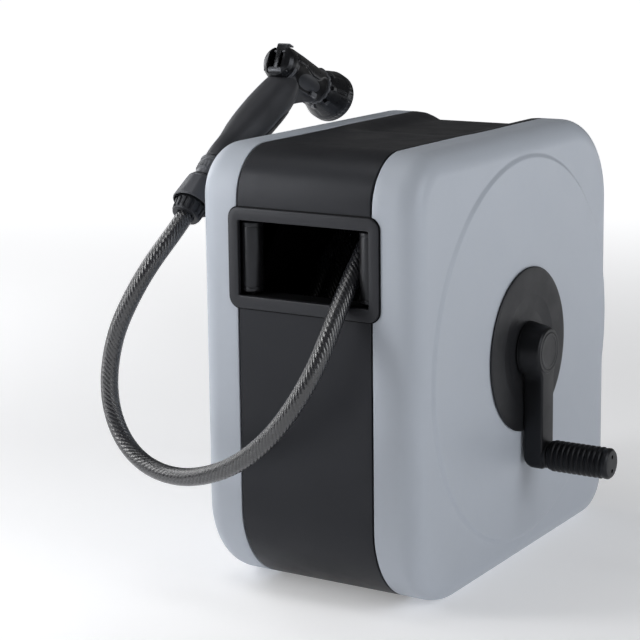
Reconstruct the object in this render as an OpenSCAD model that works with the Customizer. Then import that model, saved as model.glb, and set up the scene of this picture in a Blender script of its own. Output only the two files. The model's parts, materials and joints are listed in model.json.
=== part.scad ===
// Box-type garden hose reel: a drum in a rounded case, turned by a folding-free
// crank on the right-hand side, with the hose led out of a window in the front
// and a spray nozzle lying in a holder on the left-hand side.
// Millimetres. +Z is up, -Y is the front (window), +X is the crank side.
// The origin is the centre of the flat bottom of the case.

/* [Case] */
// Width of the case over the flat side faces
case_w = 236; // [230:1:240]
// Depth of the case, front to back
case_d = 425; // [420:1:432]
// Height of the case above the floor
case_h = 430; // [426:1:436]
// Height of the case's flat bottom above the floor
foot_h = 0; // [0:0.5:2]
// Wall thickness of the mouldings
wall = 3; // [2.5:0.1:3.5]
// Rounding of the outer edge of each side shell
edge_r = 22; // [18:1:24]
// Width of the dark centre band
band_w = 142.4; // [140:0.2:144]
// Width of the open seam on each side of the band
seam = 1.6; // [1:0.2:2]
// Radius of the raised round panel on each side
panel_r = 190; // [180:1:190]
// Height of the raised round panel
panel_h = 2.5; // [2:0.5:3]
// Depth of the hand scoop in the top of the band
scoop_depth = 7.5; // [5:0.5:8]

/* [Window] */
// Width of the opening that the hose runs through
window_w = 140; // [136:1:141]
// Height of the opening that the hose runs through
window_h = 71; // [68:1:72]
// Height of the middle of the window above the floor
window_z = 327.5; // [326:0.5:329]
// Width of the window frame
frame_w = 161; // [158:1:165]
// Height of the window frame
frame_h = 95; // [92:1:96]
// How far the window frame stands out of the band
frame_t = 2.5; // [2:0.5:4]
// Radius of the two upright guide rollers
roller_r = 10.5; // [9:0.5:10.5]

/* [Drum] */
// Radius of the barrel that the hose is wound on
core_r = 60; // [58:1:60]
// Radius of the drum flanges
flange_r = 176; // [150:1:177]
// Width between the drum flanges
drum_w = 160; // [156:1:160]
// Outer diameter of the hose
hose_d = 17.2; // [16.4:0.1:17.3]

/* [Crank] */
// Radius of the dark disc behind the crank
disc_r = 81.5; // [70:0.5:84]
// Distance from the drum axis to the axis of the grip
arm_len = 104.5; // [96:0.5:106]
// Radius of the crank grip
grip_r = 15.5; // [13:0.5:16]

/* [Nozzle] */
// Radius of the nozzle barrel
barrel_r = 18; // [17.5:0.5:18.5]
// Radius of the bell at the front of the nozzle
bell_r = 26.5; // [25:0.5:27]
// Downward tilt of the nozzle barrel
tilt = 24; // [22:1:26]

/* [Hidden] */
ax_y = 7;                       // drum axis, front to back
ax_z = 217;                     // drum axis above the floor
side_x = case_w / 2;            // flat side face
panel_x = side_x + panel_h;     // face of the round panel
band_x = band_w / 2;
shell_x = band_x + seam;        // inner edge of a shell
drum_x = drum_w / 2;
roller_x = 64;
roller_y = -199;
front_y = -case_d / 2;
// corner radii of the side outline: front top, front bottom, rear bottom, rear top
r_ft = 50; r_fb = 86; r_rb = 45; r_rt = 90;
screw_at = [[-160, 52], [-160, 378], [165, 378], [180, 40]];
feet_at = [[-86, -105], [86, -105], [-86, 150], [86, 150]];
noz_x = -150;                   // plane that the nozzle lies in
noz_o = [noz_x, 30, 470];       // point on the barrel axis
neck_o = [noz_x, -134, 403];    // top of the connector axis
neck_a = 132;                   // turns +Z on to the connector axis
// route of the free hose: off the drum, out of the window, round the loop, up to the nozzle
hose_route = [
    [42, 7, 337.5], [42, -19, 338], [42.5, -44.5, 342], [42.5, -69.5, 348], [43, -94.5, 355], [43.5, -119.5, 359.5],
    [43.5, -143, 357.5], [44, -164.3, 348.2], [44, -183.9, 331.8], [44.5, -204.2, 313.4], [46, -225.2, 293.9], [46, -242.8, 273.2],
    [43, -256, 251.5], [35.5, -265.5, 229.5], [24, -271.5, 208], [9, -274, 187.5], [-9, -274.5, 169], [-29.5, -273.5, 153],
    [-52, -271.5, 140], [-76, -269, 130.5], [-100.5, -266, 124.5], [-126, -262.5, 123.5], [-150.5, -258.5, 128], [-172.5, -255, 140],
    [-188.5, -252, 159], [-197.5, -249.5, 182], [-199, -248, 207], [-195.5, -246.5, 232], [-188, -245, 256], [-178, -241, 279],
    [-168, -234, 301], [-159, -222.5, 321.5], [-152, -205, 340.5], [-150, -186.6, 355.6]];

// ---------- shapes ----------
// side outline of the case, inset by o, drawn with +X to the back and +Y up
module outline(o = 0) {
    y0 = -case_d / 2; y1 = case_d / 2; z0 = foot_h; z1 = case_h;
    polygon([[y0 + r_fb, z0 + o], [y1 - r_rb, z0 + o], [y1 - o, z0 + r_rb], [y1 - o, z1 - r_rt],
        [y1 - r_rt, z1 - o], [y0 + r_ft, z1 - o], [y0 + o, z1 - r_ft], [y0 + o, z0 + r_fb]]);
    translate([y0 + r_fb, z0 + r_fb]) circle(r_fb - o, $fn = 96);
    translate([y1 - r_rb, z0 + r_rb]) circle(r_rb - o, $fn = 96);
    translate([y1 - r_rt, z1 - r_rt]) circle(r_rt - o, $fn = 96);
    translate([y0 + r_ft, z1 - r_ft]) circle(r_ft - o, $fn = 96);
}
// stands a drawing up on its side: drawn X to the back, drawn Y up, thickness along +X
module upright(x0, x1) translate([x0, 0, 0]) rotate([90, 0, 90]) linear_extrude(x1 - x0) children();
// band of wall between two insets of the outline
module hoop(o1, o2, x0, x1) upright(x0, x1) difference() { outline(o1); outline(o2); }
// the same outline as a list of points, q steps to a corner
function arc_pts(y, z, r, a0, q) = [for (i = [0 : q]) [y + r * cos(a0 + 90 * i / q), z + r * sin(a0 + 90 * i / q)]];
function outline_pts(o, q) = let (y0 = -case_d / 2, y1 = case_d / 2, z0 = foot_h, z1 = case_h) concat(
    arc_pts(y1 - r_rt, z1 - r_rt, r_rt - o, 0, q), arc_pts(y0 + r_ft, z1 - r_ft, r_ft - o, 90, q),
    arc_pts(y0 + r_fb, z0 + r_fb, r_fb - o, 180, q), arc_pts(y1 - r_rb, z0 + r_rb, r_rb - o, 270, q));
// closed skin through rings of equal length
module lofted(rings) {
    n = len(rings[0]); m = len(rings);
    polyhedron([for (r = rings) each r], concat(
        [[for (k = [0 : n - 1]) k]],
        [for (i = [0 : m - 2]) for (k = [0 : n - 1]) [i * n + k, (i + 1) * n + (k + 1) % n, i * n + (k + 1) % n]],
        [for (i = [0 : m - 2]) for (k = [0 : n - 1]) [i * n + k, (i + 1) * n + k, (i + 1) * n + (k + 1) % n]],
        [[for (k = [n - 1 : -1 : 0]) (m - 1) * n + k]]));
}
// solid that fills a side shell out to inset o
module shell_solid(o, x_in) lofted([for (c = concat([[x_in, o]],
    [for (b = [0 : 15 : 90]) [side_x - edge_r + (edge_r - o) * sin(b), o + (edge_r - o) * (1 - cos(b))]]))
    [for (p = outline_pts(c[1], 14)) [c[0], p[0], p[1]]]]);
// cylinder along X through a point of the side view
module xcyl(y, z, x0, x1, r, r2 = -1) translate([x0, y, z]) rotate([0, 90, 0])
    cylinder(h = x1 - x0, r1 = r, r2 = r2 < 0 ? r : r2, $fn = 96);
module on_axis() translate([0, ax_y, ax_z]) rotate([0, 90, 0]) children();
module barrel_frame() translate(noz_o) rotate([-(90 + tilt), 0, 0]) children();
module neck_frame() translate(neck_o) rotate([neck_a, 0, 0]) children();
// revolved ring given by [radius, height] corners
module turned(pts) rotate_extrude($fn = 96) polygon(pts);

// a point on the outline over the top and round the rear top corner: t below 0 is the flat top
function over_top(t, d) = t < 0
    ? [case_d / 2 - r_rt + t, case_h - d]
    : [case_d / 2 - r_rt + (r_rt - d) * sin(t), case_h - r_rt + (r_rt - d) * cos(t)];
function ease(u) = let (v = max(0, min(1, u))) v * v * (3 - 2 * v);
// depth of the hand scoop at x and at t along the top
function scoop_at(x, t) = scoop_depth * ease((band_x - 1 - abs(x)) / 25) * ease((t + 180) / 70) * ease((66 - t) / 30);
scoop_t = [-185, -165, -150, -135, -110, -60, -1, 8, 18, 28, 38, 48, 58, 67];
scoop_xs = [-71, -66, -61, -56, -51, -46, -20, 20, 46, 51, 56, 61, 66, 71];
module scoop_tool() {
    n = len(scoop_xs); m = len(scoop_t);
    top = [for (t = scoop_t) for (x = scoop_xs) let (p = over_top(t, -6)) [x, p[0], p[1]]];
    bot = [for (t = scoop_t) for (x = scoop_xs) let (p = over_top(t, scoop_at(x, t) - 0.02)) [x, p[0], p[1]]];
    q = n * m;
    polyhedron(concat(top, bot), concat(
        [for (j = [0 : m - 2]) for (i = [0 : n - 2]) [j * n + i, (j + 1) * n + i, (j + 1) * n + i + 1]],
        [for (j = [0 : m - 2]) for (i = [0 : n - 2]) [j * n + i, (j + 1) * n + i + 1, j * n + i + 1]],
        [for (j = [0 : m - 2]) for (i = [0 : n - 2]) [q + j * n + i, q + (j + 1) * n + i + 1, q + (j + 1) * n + i]],
        [for (j = [0 : m - 2]) for (i = [0 : n - 2]) [q + j * n + i, q + j * n + i + 1, q + (j + 1) * n + i + 1]],
        [for (i = [0 : n - 2]) [i, i + 1, q + i + 1, q + i]],
        [for (i = [0 : n - 2]) [(m - 1) * n + i + 1, (m - 1) * n + i, q + (m - 1) * n + i, q + (m - 1) * n + i + 1]],
        [for (j = [0 : m - 2]) [(j + 1) * n, j * n, q + j * n, q + (j + 1) * n]],
        [for (j = [0 : m - 2]) [j * n + n - 1, (j + 1) * n + n - 1, q + (j + 1) * n + n - 1, q + j * n + n - 1]]));
}

// swept tube: p are points, ra and rb the half widths across and along side vector s
function unit(v) = v / norm(v);
function along(p, i) = unit(p[min(i + 1, len(p) - 1)] - p[max(i - 1, 0)]);
function ring_at(c, t, s, ra, rb, n) = let (u = unit(s - (s * t) * t), w = cross(t, u))
    [for (k = [0 : n - 1]) c + ra * cos(360 * k / n) * u + rb * sin(360 * k / n) * w];
module swept(p, ra, rb, s, n) {
    m = len(p);
    pts = [for (i = [0 : m - 1]) each ring_at(p[i], along(p, i), s, ra[i], rb[i], n)];
    polyhedron(pts, concat(
        [[for (k = [0 : n - 1]) k]],
        [for (i = [0 : m - 2]) for (k = [0 : n - 1]) [i * n + k, (i + 1) * n + (k + 1) % n, i * n + (k + 1) % n]],
        [for (i = [0 : m - 2]) for (k = [0 : n - 1]) [i * n + k, (i + 1) * n + k, (i + 1) * n + (k + 1) % n]],
        [[for (k = [n - 1 : -1 : 0]) (m - 1) * n + k]]));
}

// ---------- case ----------
module side_shell() {
    difference() {
        union() {
            difference() { shell_solid(0, shell_x); shell_solid(wall, shell_x - 1); }
            intersection() {
                xcyl(ax_y, ax_z, side_x - wall, panel_x, panel_r, panel_r - 3);
                translate([0, -198, 0]) cube([200, 396, case_h]);
            }
            for (s = screw_at) xcyl(s[0], s[1], 2, side_x - wall + 0.5, 7);
        }
        xcyl(ax_y, ax_z, side_x - wall - 1, side_x, panel_r - 7);
        for (f = feet_at) if (f[0] > 0) translate([f[0], f[1], -1]) cylinder(h = foot_h + 2.5, r = 9.1, $fn = 64);
    }
}
module left_shell() color("#c3c7cd") difference() {
    mirror([1, 0, 0]) side_shell();
    xcyl(ax_y, ax_z, -panel_x - 1, -side_x + wall + 1, 17);
    for (s = screw_at) {
        xcyl(s[0], s[1], -side_x - 1, -side_x + 9, 5);
        xcyl(s[0], s[1], -side_x, 0, 2.2);
    }
    for (z = screw_z) xcyl(-62, z, -panel_x - 1, -side_x + 1, 2.1);
}
module right_shell() color("#c3c7cd") difference() {
    side_shell();
    xcyl(ax_y, ax_z, side_x - wall - 1, panel_x + 1, 19);
    for (s = screw_at) xcyl(s[0], s[1], 0, 60, 2.2);
}
module band_all() difference() {
    union() {
        hoop(0, wall + 0.6, -band_x, band_x);
        hoop(wall + 0.3, wall + 2.5, -band_x - 5.5, band_x + 5.5);
        intersection() {
            hoop(0, 13, -band_x, band_x);
            translate([-100, -70, 352]) cube([200, 400, 100]);
        }
    }
    scoop_tool();
    translate([-window_w / 2 - 2.5, front_y - 5, window_z - window_h / 2 - 2.5]) cube([window_w + 5, 20, window_h + 5]);
}
module front_half() translate([-150, -300, -10]) cube([300, 465, 500]);
module front_band() color("#2b2c2f") difference() {
    intersection() { band_all(); front_half(); }
    translate([-150, -90, -10]) cube([300, 400, 60]);
}
module rear_band() color("#2b2c2f") union() {
    difference() {
        band_all();
        translate([-150, -300, -10]) cube([300, 465.3, 500]);
    }
    intersection() {
        band_all();
        translate([-150, -89.7, -10]) cube([300, 255.1, 59.7]);
    }
}
module rounded_plate(w, h, r) {
    square([w - 2 * r, h], center = true);
    square([w, h - 2 * r], center = true);
    for (i = [-1, 1]) for (j = [-1, 1]) translate([i * (w / 2 - r), j * (h / 2 - r)]) circle(r, $fn = 48);
}
module window_frame() color("#2e2f32") difference() {
    union() {
        translate([0, front_y, window_z]) rotate([90, 0, 0]) linear_extrude(frame_t) rounded_plate(frame_w, frame_h, 11);
        translate([-window_w / 2 - 2.2, front_y - 0.5, window_z - window_h / 2 - 2.2]) cube([window_w + 4.4, 2.4, window_h + 4.4]);
        for (s = [-1, 1]) translate([-window_w / 2 - 2.2, front_y - 0.5, window_z + s * (window_h / 2 + 1.1) - 1.1]) cube([window_w + 4.4, 20, 2.2]);
        for (s = [-1, 1]) translate([-window_w / 2 - 7, front_y + 7.2, window_z + s * (window_h / 2 + 1.1) - 1.1]) cube([window_w + 14, 19.3, 2.2]);
    }
    // the opening, with a bevel on the lower lip that the hose runs over
    translate([-window_w / 2, 0, window_z - window_h / 2]) rotate([90, 0, 90]) linear_extrude(window_w)
        polygon([[front_y - 20, -1.5], [front_y - frame_t, -1.5], [front_y - frame_t + 1.5, 0], [front_y + 40, 0], [front_y + 40, window_h], [front_y - 20, window_h]]);
    for (s = [-1, 1]) translate([s * roller_x, roller_y, window_z - 60]) cylinder(h = 120, r = 2.5, $fn = 48);
}
roller_h = 69;
module guide_roller(s) color("#1d1e20") translate([s * roller_x, roller_y, window_z - roller_h / 2]) difference() {
    turned([[0, 0], [roller_r - 1, 0], [roller_r, 1], [roller_r, roller_h - 1], [roller_r - 1, roller_h], [0, roller_h]]);
    translate([0, 0, -1]) cylinder(h = roller_h + 2, r = 2.55, $fn = 48);
}
module roller_left() guide_roller(-1);
module roller_right() guide_roller(1);
module roller_pins() color("#b9bcc0") for (s = [-1, 1]) translate([s * roller_x, roller_y, window_z - 38.8]) {
    cylinder(h = 77.4, r = 2.49, $fn = 48);
    cylinder(h = 1, r = 3.6, $fn = 48);
}
module left_bush() color("#e8e8e4") difference() {
    union() {
        xcyl(ax_y, ax_z, -panel_x - 0.5, -side_x + 4, 16.95);
        xcyl(ax_y, ax_z, -side_x + 0.1, -side_x + 4, 22);
    }
    xcyl(ax_y, ax_z, -140, -100, 12.05);
}
module right_bush() color("#e8e8e4") difference() {
    union() {
        xcyl(ax_y, ax_z, side_x - 4, panel_x, 18.95);
        xcyl(ax_y, ax_z, side_x - 4, side_x - 0.1, 25);
    }
    xcyl(ax_y, ax_z, 100, 140, 14.05);
}
module rubber_feet() color("#18191a") for (f = feet_at) translate([f[0], f[1], 0])
    turned([[0, 0], [8, 0], [9, 1], [9, foot_h + 1.4], [0, foot_h + 1.4]]);
module case_screws() color("#b4b7bb") for (s = screw_at) {
    difference() {
        xcyl(s[0], s[1], -side_x + 5, -side_x + 8.9, 4.2);
        translate([-side_x + 4, s[0] - 0.5, s[1] - 2.6]) cube([3, 1, 5.2]);
        translate([-side_x + 4, s[0] - 2.6, s[1] - 0.5]) cube([3, 5.2, 1]);
    }
    xcyl(s[0], s[1], -side_x + 8.9, 50, 2.15);
}
// open cradle on the left side that the nozzle handle lies in
hold_o = [noz_x, -90, 419.3];
screw_z = [312, 350];
module nozzle_holder() color("#2b2c2f") difference() {
    union() {
        translate([-panel_x - 4.1, -104, 300]) cube([4, 52, 66]);
        translate([0, -72, 0]) rotate([90, 0, 0]) linear_extrude(32)
            polygon([[-120.7, 322], [-120.7, 366], [-124.5, 372], [-131, 394], [-131, 408], [-168, 408], [-168, 398], [-132, 344], [-127, 322]]);
        translate(hold_o) rotate([19, 0, 0]) translate([-23.5, -20, -25]) cube([47, 40, 15]);
    }
    translate(hold_o) rotate([19, 0, 0]) translate([0, 35, 0]) rotate([90, 0, 0])
        cylinder(h = 70, r1 = 22, r2 = 18.9, $fn = 96);
    for (z = screw_z) xcyl(-62, z, -140, -110, 2.2);
    for (z = screw_z) xcyl(-62, z, -140, -panel_x - 2.7, 4.5);
}
module holder_screws() color("#b4b7bb") for (z = screw_z) {
    xcyl(-62, z, -panel_x - 5, -panel_x - 2.75, 4);
    xcyl(-62, z, -panel_x - 2.75, -side_x + 0.4, 2.05);
}

// ---------- drum ----------
module drum_core() color("#4a4c50") on_axis() difference() {
    translate([0, 0, -drum_x]) cylinder(h = drum_w, r = core_r, $fn = 128);
    translate([0, 0, -drum_x - 1]) cylinder(h = drum_w + 2, r = core_r - 3.5, $fn = 128);
    translate([0, 0, -62]) rotate([0, 90, 0]) cylinder(h = 100, r = 9, $fn = 48);
}
module flange(hub_len) difference() {
    union() {
        cylinder(h = 4, r = flange_r, $fn = 128);
        difference() {
            cylinder(h = 7, r = flange_r, $fn = 128);
            translate([0, 0, -1]) cylinder(h = 9, r = flange_r - 4, $fn = 128);
        }
        translate([0, 0, -6]) difference() {
            cylinder(h = 7, r = core_r - 3.8, $fn = 96);
            translate([0, 0, -1]) cylinder(h = 9, r = core_r - 7, $fn = 96);
        }
        cylinder(h = hub_len, r = 23, $fn = 96);
        for (a = [0 : 60 : 300]) rotate([0, 0, a + 30]) translate([20, -2, 3]) cube([flange_r - 22, 4, 4]);
    }
    for (a = [0 : 60 : 300]) rotate([0, 0, a]) translate([118, 0, -1]) cylinder(h = 9, r = 20, $fn = 64);
}
module drum_flange_right() color("#4a4c50") on_axis() translate([0, 0, drum_x + 0.1]) difference() {
    flange(33);
    translate([0, 0, -10]) rotate([0, 0, 30]) cylinder(h = 60, r = 13.66, $fn = 6);
}
module drum_flange_left() color("#4a4c50") on_axis() translate([0, 0, -drum_x - 0.1]) mirror([0, 0, 1]) difference() {
    flange(33);
    translate([0, 0, -10]) cylinder(h = 60, r = 12.02, $fn = 96);
}
// outer shape of the wound hose: four layers, the outermost one not full
pack_r3 = 112; pack_r4 = 129.2;
module hose_pack() color("#35373a") on_axis() turned([[core_r + 0.4, -drum_x + 0.4], [pack_r4, -drum_x + 0.4], [pack_r4, 31],
    [pack_r3, 31], [pack_r3, drum_x - 0.4], [core_r + 0.4, drum_x - 0.4]]);
module water_spigot() color("#d9dad6") on_axis() difference() {
    translate([0, 0, -146]) union() {
        cylinder(h = 90, r = 12, $fn = 96);
        translate([0, 0, 44]) cylinder(h = 20, r = 12, $fn = 96);
    }
    translate([0, 0, -147]) cylinder(h = 100, r = 6, $fn = 64);
    for (z = [-141, -134]) translate([0, 0, z]) rotate_extrude($fn = 96) translate([9.9, -1.2]) square([4, 2.4]);
}
module spigot_o_rings() color("#141414") on_axis() for (z = [-141, -134]) translate([0, 0, z])
    rotate_extrude($fn = 96) translate([10.93, 0]) circle(1, $fn = 24);
module drum_elbow() color("#d9dad6") on_axis() difference() {
    union() {
        translate([0, 0, -76]) cylinder(h = 26, r = 16, $fn = 96);
        translate([0, 0, -62]) rotate([0, 90, 0]) cylinder(h = 54, r = 7.5, $fn = 64);
    }
    translate([0, 0, -77]) cylinder(h = 21.1, r = 12.05, $fn = 96);
    translate([0, 0, -62]) cylinder(h = 9, r = 6, $fn = 64);
    translate([0, 0, -62]) rotate([0, 90, 0]) cylinder(h = 60, r = 5, $fn = 64);
}
module hose_clamp() color("#b9bcc0") on_axis() translate([0, 0, -62]) rotate([0, 90, 0]) {
    translate([0, 0, 40]) difference() {
        cylinder(h = 9, r = 9.5, $fn = 64);
        translate([0, 0, -1]) cylinder(h = 11, r = 7.55, $fn = 64);
    }
    translate([9.4, -3, 41]) cube([5, 6, 7]);
}

// ---------- crank ----------
module crank_shaft() color("#8f9296") on_axis() difference() {
    union() {
        translate([0, 0, 72]) rotate([0, 0, 30]) cylinder(h = 41.3, r = 13.6, $fn = 6);
        translate([0, 0, 113.2]) cylinder(h = 20.6, r = 14, $fn = 96);
        translate([0, 0, 70]) cylinder(h = 2.2, r = 16, $fn = 96);
    }
    translate([0, 0, 100]) cylinder(h = 50, r = 3.05, $fn = 48);
}
disc_x = panel_x + 0.5;
module hub_disc() color("#27282b") on_axis() translate([0, 0, disc_x]) difference() {
    turned([[14.1, 0], [disc_r - 0.6, 0], [disc_r, 0.6], [disc_r, 1.2], [disc_r - 0.8, 1.8], [disc_r - 3, 2],
        [58, 2], [50, 0.9], [14.1, 0.9]]);
}
boss_x = disc_x + 1;
arm_x = disc_x + 23.6;
module crank_arm() color("#232427") difference() {
    union() {
        xcyl(ax_y, ax_z, boss_x, boss_x + 5, 28, 26.5);
        xcyl(ax_y, ax_z, boss_x + 5, arm_x - 2, 26.5, 23.2);
        xcyl(ax_y, ax_z, arm_x - 2, arm_x, 23.2, 21.4);
        translate([arm_x - 17.7, ax_y - 13, ax_z - arm_len]) cube([17.7, 26, arm_len - 10]);
        xcyl(ax_y, ax_z - arm_len, arm_x - 17.7, arm_x - 2, 15.5);
        xcyl(ax_y, ax_z - arm_len, arm_x - 2, arm_x, 15.5, 13.6);
        xcyl(ax_y, ax_z - arm_len, arm_x - 1, arm_x + 2.4, 13, 12.6);
    }
    xcyl(ax_y, ax_z, boss_x - 1, panel_x + 14, 14.02);
    xcyl(ax_y, ax_z, 100, 170, 3.3);
    xcyl(ax_y, ax_z, arm_x - 8, 170, 8.5);
    xcyl(ax_y, ax_z, arm_x - 2.1, 170, 18);
    xcyl(ax_y, ax_z - arm_len, 100, 170, 5);
}
module crank_bolt() color("#b4b7bb") difference() {
    union() {
        xcyl(ax_y, ax_z, arm_x - 7.9, arm_x - 3, 6.5);
        xcyl(ax_y, ax_z, 104, arm_x - 7.9, 3);
    }
    translate([0, ax_y, ax_z]) rotate([0, 90, 0]) translate([0, 0, arm_x - 5.5]) cylinder(h = 5, r = 3.4, $fn = 6);
}
module hub_cap() color("#27282b") on_axis() translate([0, 0, arm_x - 2])
    turned([[0, 0], [17.9, 0], [17.9, 1.2], [16.6, 1.9], [0, 2.2]]);
grip_x0 = arm_x + 3;
grip_x1 = arm_x + 61.5;
module grip_pin() color("#b4b7bb") {
    xcyl(ax_y, ax_z - arm_len, arm_x - 17, grip_x1 - 5.4, 4.98);
    xcyl(ax_y, ax_z - arm_len, grip_x1 - 5.4, grip_x1 - 2.4, 7);
    xcyl(ax_y, ax_z - arm_len, arm_x - 20.4, arm_x - 17.8, 7.5);
    xcyl(ax_y, ax_z - arm_len, arm_x - 17.9, arm_x - 17, 4.98);
}
ribs = 10;
module crank_grip() color("#222325") translate([0, ax_y, ax_z - arm_len]) rotate([0, 90, 0]) difference() {
    turned(concat([[0, grip_x0], [grip_r - 1.6, grip_x0], [grip_r - 0.2, grip_x0 + 1.4]],
        [for (i = [0 : ribs - 1]) each [[grip_r - 1, grip_x0 + 3.6 + i * 5.4], [grip_r, grip_x0 + 4.6 + i * 5.4],
            [grip_r, grip_x0 + 6.6 + i * 5.4], [grip_r - 1, grip_x0 + 7.6 + i * 5.4]]],
        [[grip_r - 0.8, grip_x1], [0, grip_x1]]));
    translate([0, 0, grip_x0 - 1]) cylinder(h = 80, r = 5.04, $fn = 64);
    translate([0, 0, grip_x1 - 5.6]) cylinder(h = 20, r = 8, $fn = 64);
}
module grip_end_cap() color("#2c2d30") translate([0, ax_y, ax_z - arm_len]) rotate([0, 90, 0]) difference() {
    union() {
        translate([0, 0, grip_x1]) turned([[0, 0.05], [grip_r - 0.6, 0.05], [grip_r - 0.2, 1.2], [grip_r - 0.4, 4.2], [grip_r - 2.2, 5.9], [0, 6.4]]);
        translate([0, 0, grip_x1 - 2]) cylinder(h = 2.2, r = 7.9, $fn = 64);
    }
    for (s = [-1, 1]) translate([s * 7, 0, grip_x1 + 4]) cylinder(h = 5, r = 1.2, $fn = 24);
}

// ---------- water inlet ----------
module inlet_elbow() color("#2b2c2f") difference() {
    union() {
        xcyl(ax_y, ax_z, -152, -panel_x - 1.2, 17.5);
        xcyl(ax_y, ax_z, -155, -152, 15.5, 17.5);
        translate([-138, ax_y, ax_z - 34]) cylinder(h = 34, r = 11.5, $fn = 64);
        translate([-138, ax_y, ax_z - 34]) cylinder(h = 6, r = 13.5, $fn = 64);
    }
    xcyl(ax_y, ax_z, -147, -100, 12.06);
    translate([-138, ax_y, ax_z - 40]) cylinder(h = 36, r = 6, $fn = 64);
}
module inlet_nipple() color("#3a3b3e") translate([-138, ax_y, ax_z - 78]) difference() {
    union() {
        cylinder(h = 17, r = 8, $fn = 64);
        translate([0, 0, 16]) cylinder(h = 6, r = 6.6, $fn = 64);
        translate([0, 0, 21]) turned([[0, 0], [8, 0], [9.4, 1.6], [9.4, 3], [8, 4.6], [0, 4.6]]);
        translate([0, 0, 25]) cylinder(h = 8, r = 8, $fn = 64);
        translate([0, 0, 33]) cylinder(h = 10.9, r = 12.4, $fn = 6);
    }
    translate([0, 0, -1]) cylinder(h = 50, r = 5, $fn = 64);
}

// ---------- nozzle ----------
handle_p = [[noz_x, -134.4, 402.7], [noz_x, -127.5, 407.2], [noz_x, -118, 410.8], [noz_x, -104, 414.6], [noz_x, -86, 420.6],
    [noz_x, -66, 430], [noz_x, -44, 441.6], [noz_x, -28, 451.5], [noz_x, -14, 461.5], [noz_x, -6, 470]];
handle_rx = [10.2, 10.8, 11.9, 13.8, 17.2, 20, 20.8, 20.2, 18.6, 16];
handle_ry = [10.8, 11.6, 13, 15.2, 18.6, 20.4, 20.8, 20.4, 18.8, 15.5];
rear_r = barrel_r + 1.2;         // the barrel is a little wider at its rear end
module nozzle_handle() color("#2c2d30") difference() {
    union() {
        swept(handle_p, handle_rx, handle_ry, [1, 0, 0], 20);
        // web under the barrel, from the handle to the spray head
        translate(noz_o) rotate([-tilt, 0, 0]) translate([-7, -26, -25]) cube([14, 47, 12]);
    }
    barrel_frame() turned([[0, -70], [rear_r + 0.15, -70], [rear_r + 0.15, -20], [barrel_r + 0.15, 20], [barrel_r + 0.15, 60], [0, 60]]);
    neck_frame() translate([0, 0, -12]) cylinder(h = 40, r = 7.05, $fn = 64);
    neck_frame() translate([-20, -20, 0.4]) cube([40, 40, 8]);
}
module nozzle_barrel() color("#2b2c2f") barrel_frame() difference() {
    turned([[0, -41.9], [rear_r, -41.9], [rear_r, -20], [barrel_r, 20], [barrel_r, 22.4], [17, 23.4], [15, 23.4], [15, 52], [14, 53], [0, 53]]);
    translate([0, 0, -34]) cylinder(h = 48, r = 10, $fn = 64);
    translate([0, 0, 10]) cylinder(h = 60, r = 8.5, $fn = 64);
    translate([0, 0, -50]) cylinder(h = 30, r = 3.05, $fn = 48);
    translate([0, 0, -8]) rotate([-90, 0, 0]) cylinder(h = 30, r = 6, $fn = 48);
}
lev_t = -52; lev_y = 9;
module nozzle_rear_cap() color("#26272a") barrel_frame() difference() {
    turned([[0, -60], [6.4, -59.4], [11.8, -57.6], [15.6, -54.6], [18.1, -50.5], [rear_r, -46], [rear_r, -42], [0, -42]]);
    translate([-8.6, -30, -80]) cube([17.2, 43, 34.4]);
    translate([-30, lev_y, lev_t]) rotate([0, 90, 0]) cylinder(h = 60, r = 1.5, $fn = 32);
    translate([0, 0, -47]) cylinder(h = 6, r = 3.05, $fn = 48);
}
module lever_pin() color("#b4b7bb") barrel_frame() translate([-14, lev_y, lev_t]) rotate([0, 90, 0]) cylinder(h = 28, r = 1.48, $fn = 32);
module thumb_lever() color("#3a3b3f") barrel_frame() difference() {
    union() {
        translate([-8.2, lev_y, lev_t]) rotate([0, 90, 0]) cylinder(h = 16.4, r = 3.6, $fn = 48);
        translate([-2.9, -12, lev_t - 3]) cube([5.8, 21, 6]);
        // thumb rest: a lip, a steep face and a flat top
        translate([-6.7, 0, 0]) rotate([90, 0, 90]) linear_extrude(13.4)
            polygon([[-10, -52.5], [-12.4, -52.8], [-13.2, -51], [-19.6, -49.8], [-21.6, -47.6], [-21.6, -39], [-19.6, -39], [-19.6, -46.2], [-10, -46.2]]);
    }
    translate([-30, lev_y, lev_t]) rotate([0, 90, 0]) cylinder(h = 60, r = 1.53, $fn = 32);
}
module valve_spool() color("#d9dad6") barrel_frame() union() {
    translate([0, 0, -46.9]) cylinder(h = 48.9, r = 3, $fn = 48);
    translate([0, 0, 1]) cylinder(h = 5, r = 7.5, $fn = 64);
    translate([0, 0, 6]) cylinder(h = 3, r1 = 7.5, r2 = 5.2, $fn = 64);
}
module valve_seat() color("#141414") barrel_frame() translate([0, 0, 9.6]) difference() {
    cylinder(h = 4.3, r = 9.95, $fn = 64);
    translate([0, 0, -1]) cylinder(h = 7, r = 5.6, $fn = 64);
}
module head_ring() color("#1f2022") barrel_frame() translate([0, 0, 23.9]) difference() {
    cylinder(h = 3.3, r = 19.4, $fn = 96);
    translate([0, 0, -1]) cylinder(h = 6, r = 15.02, $fn = 96);
}
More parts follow.
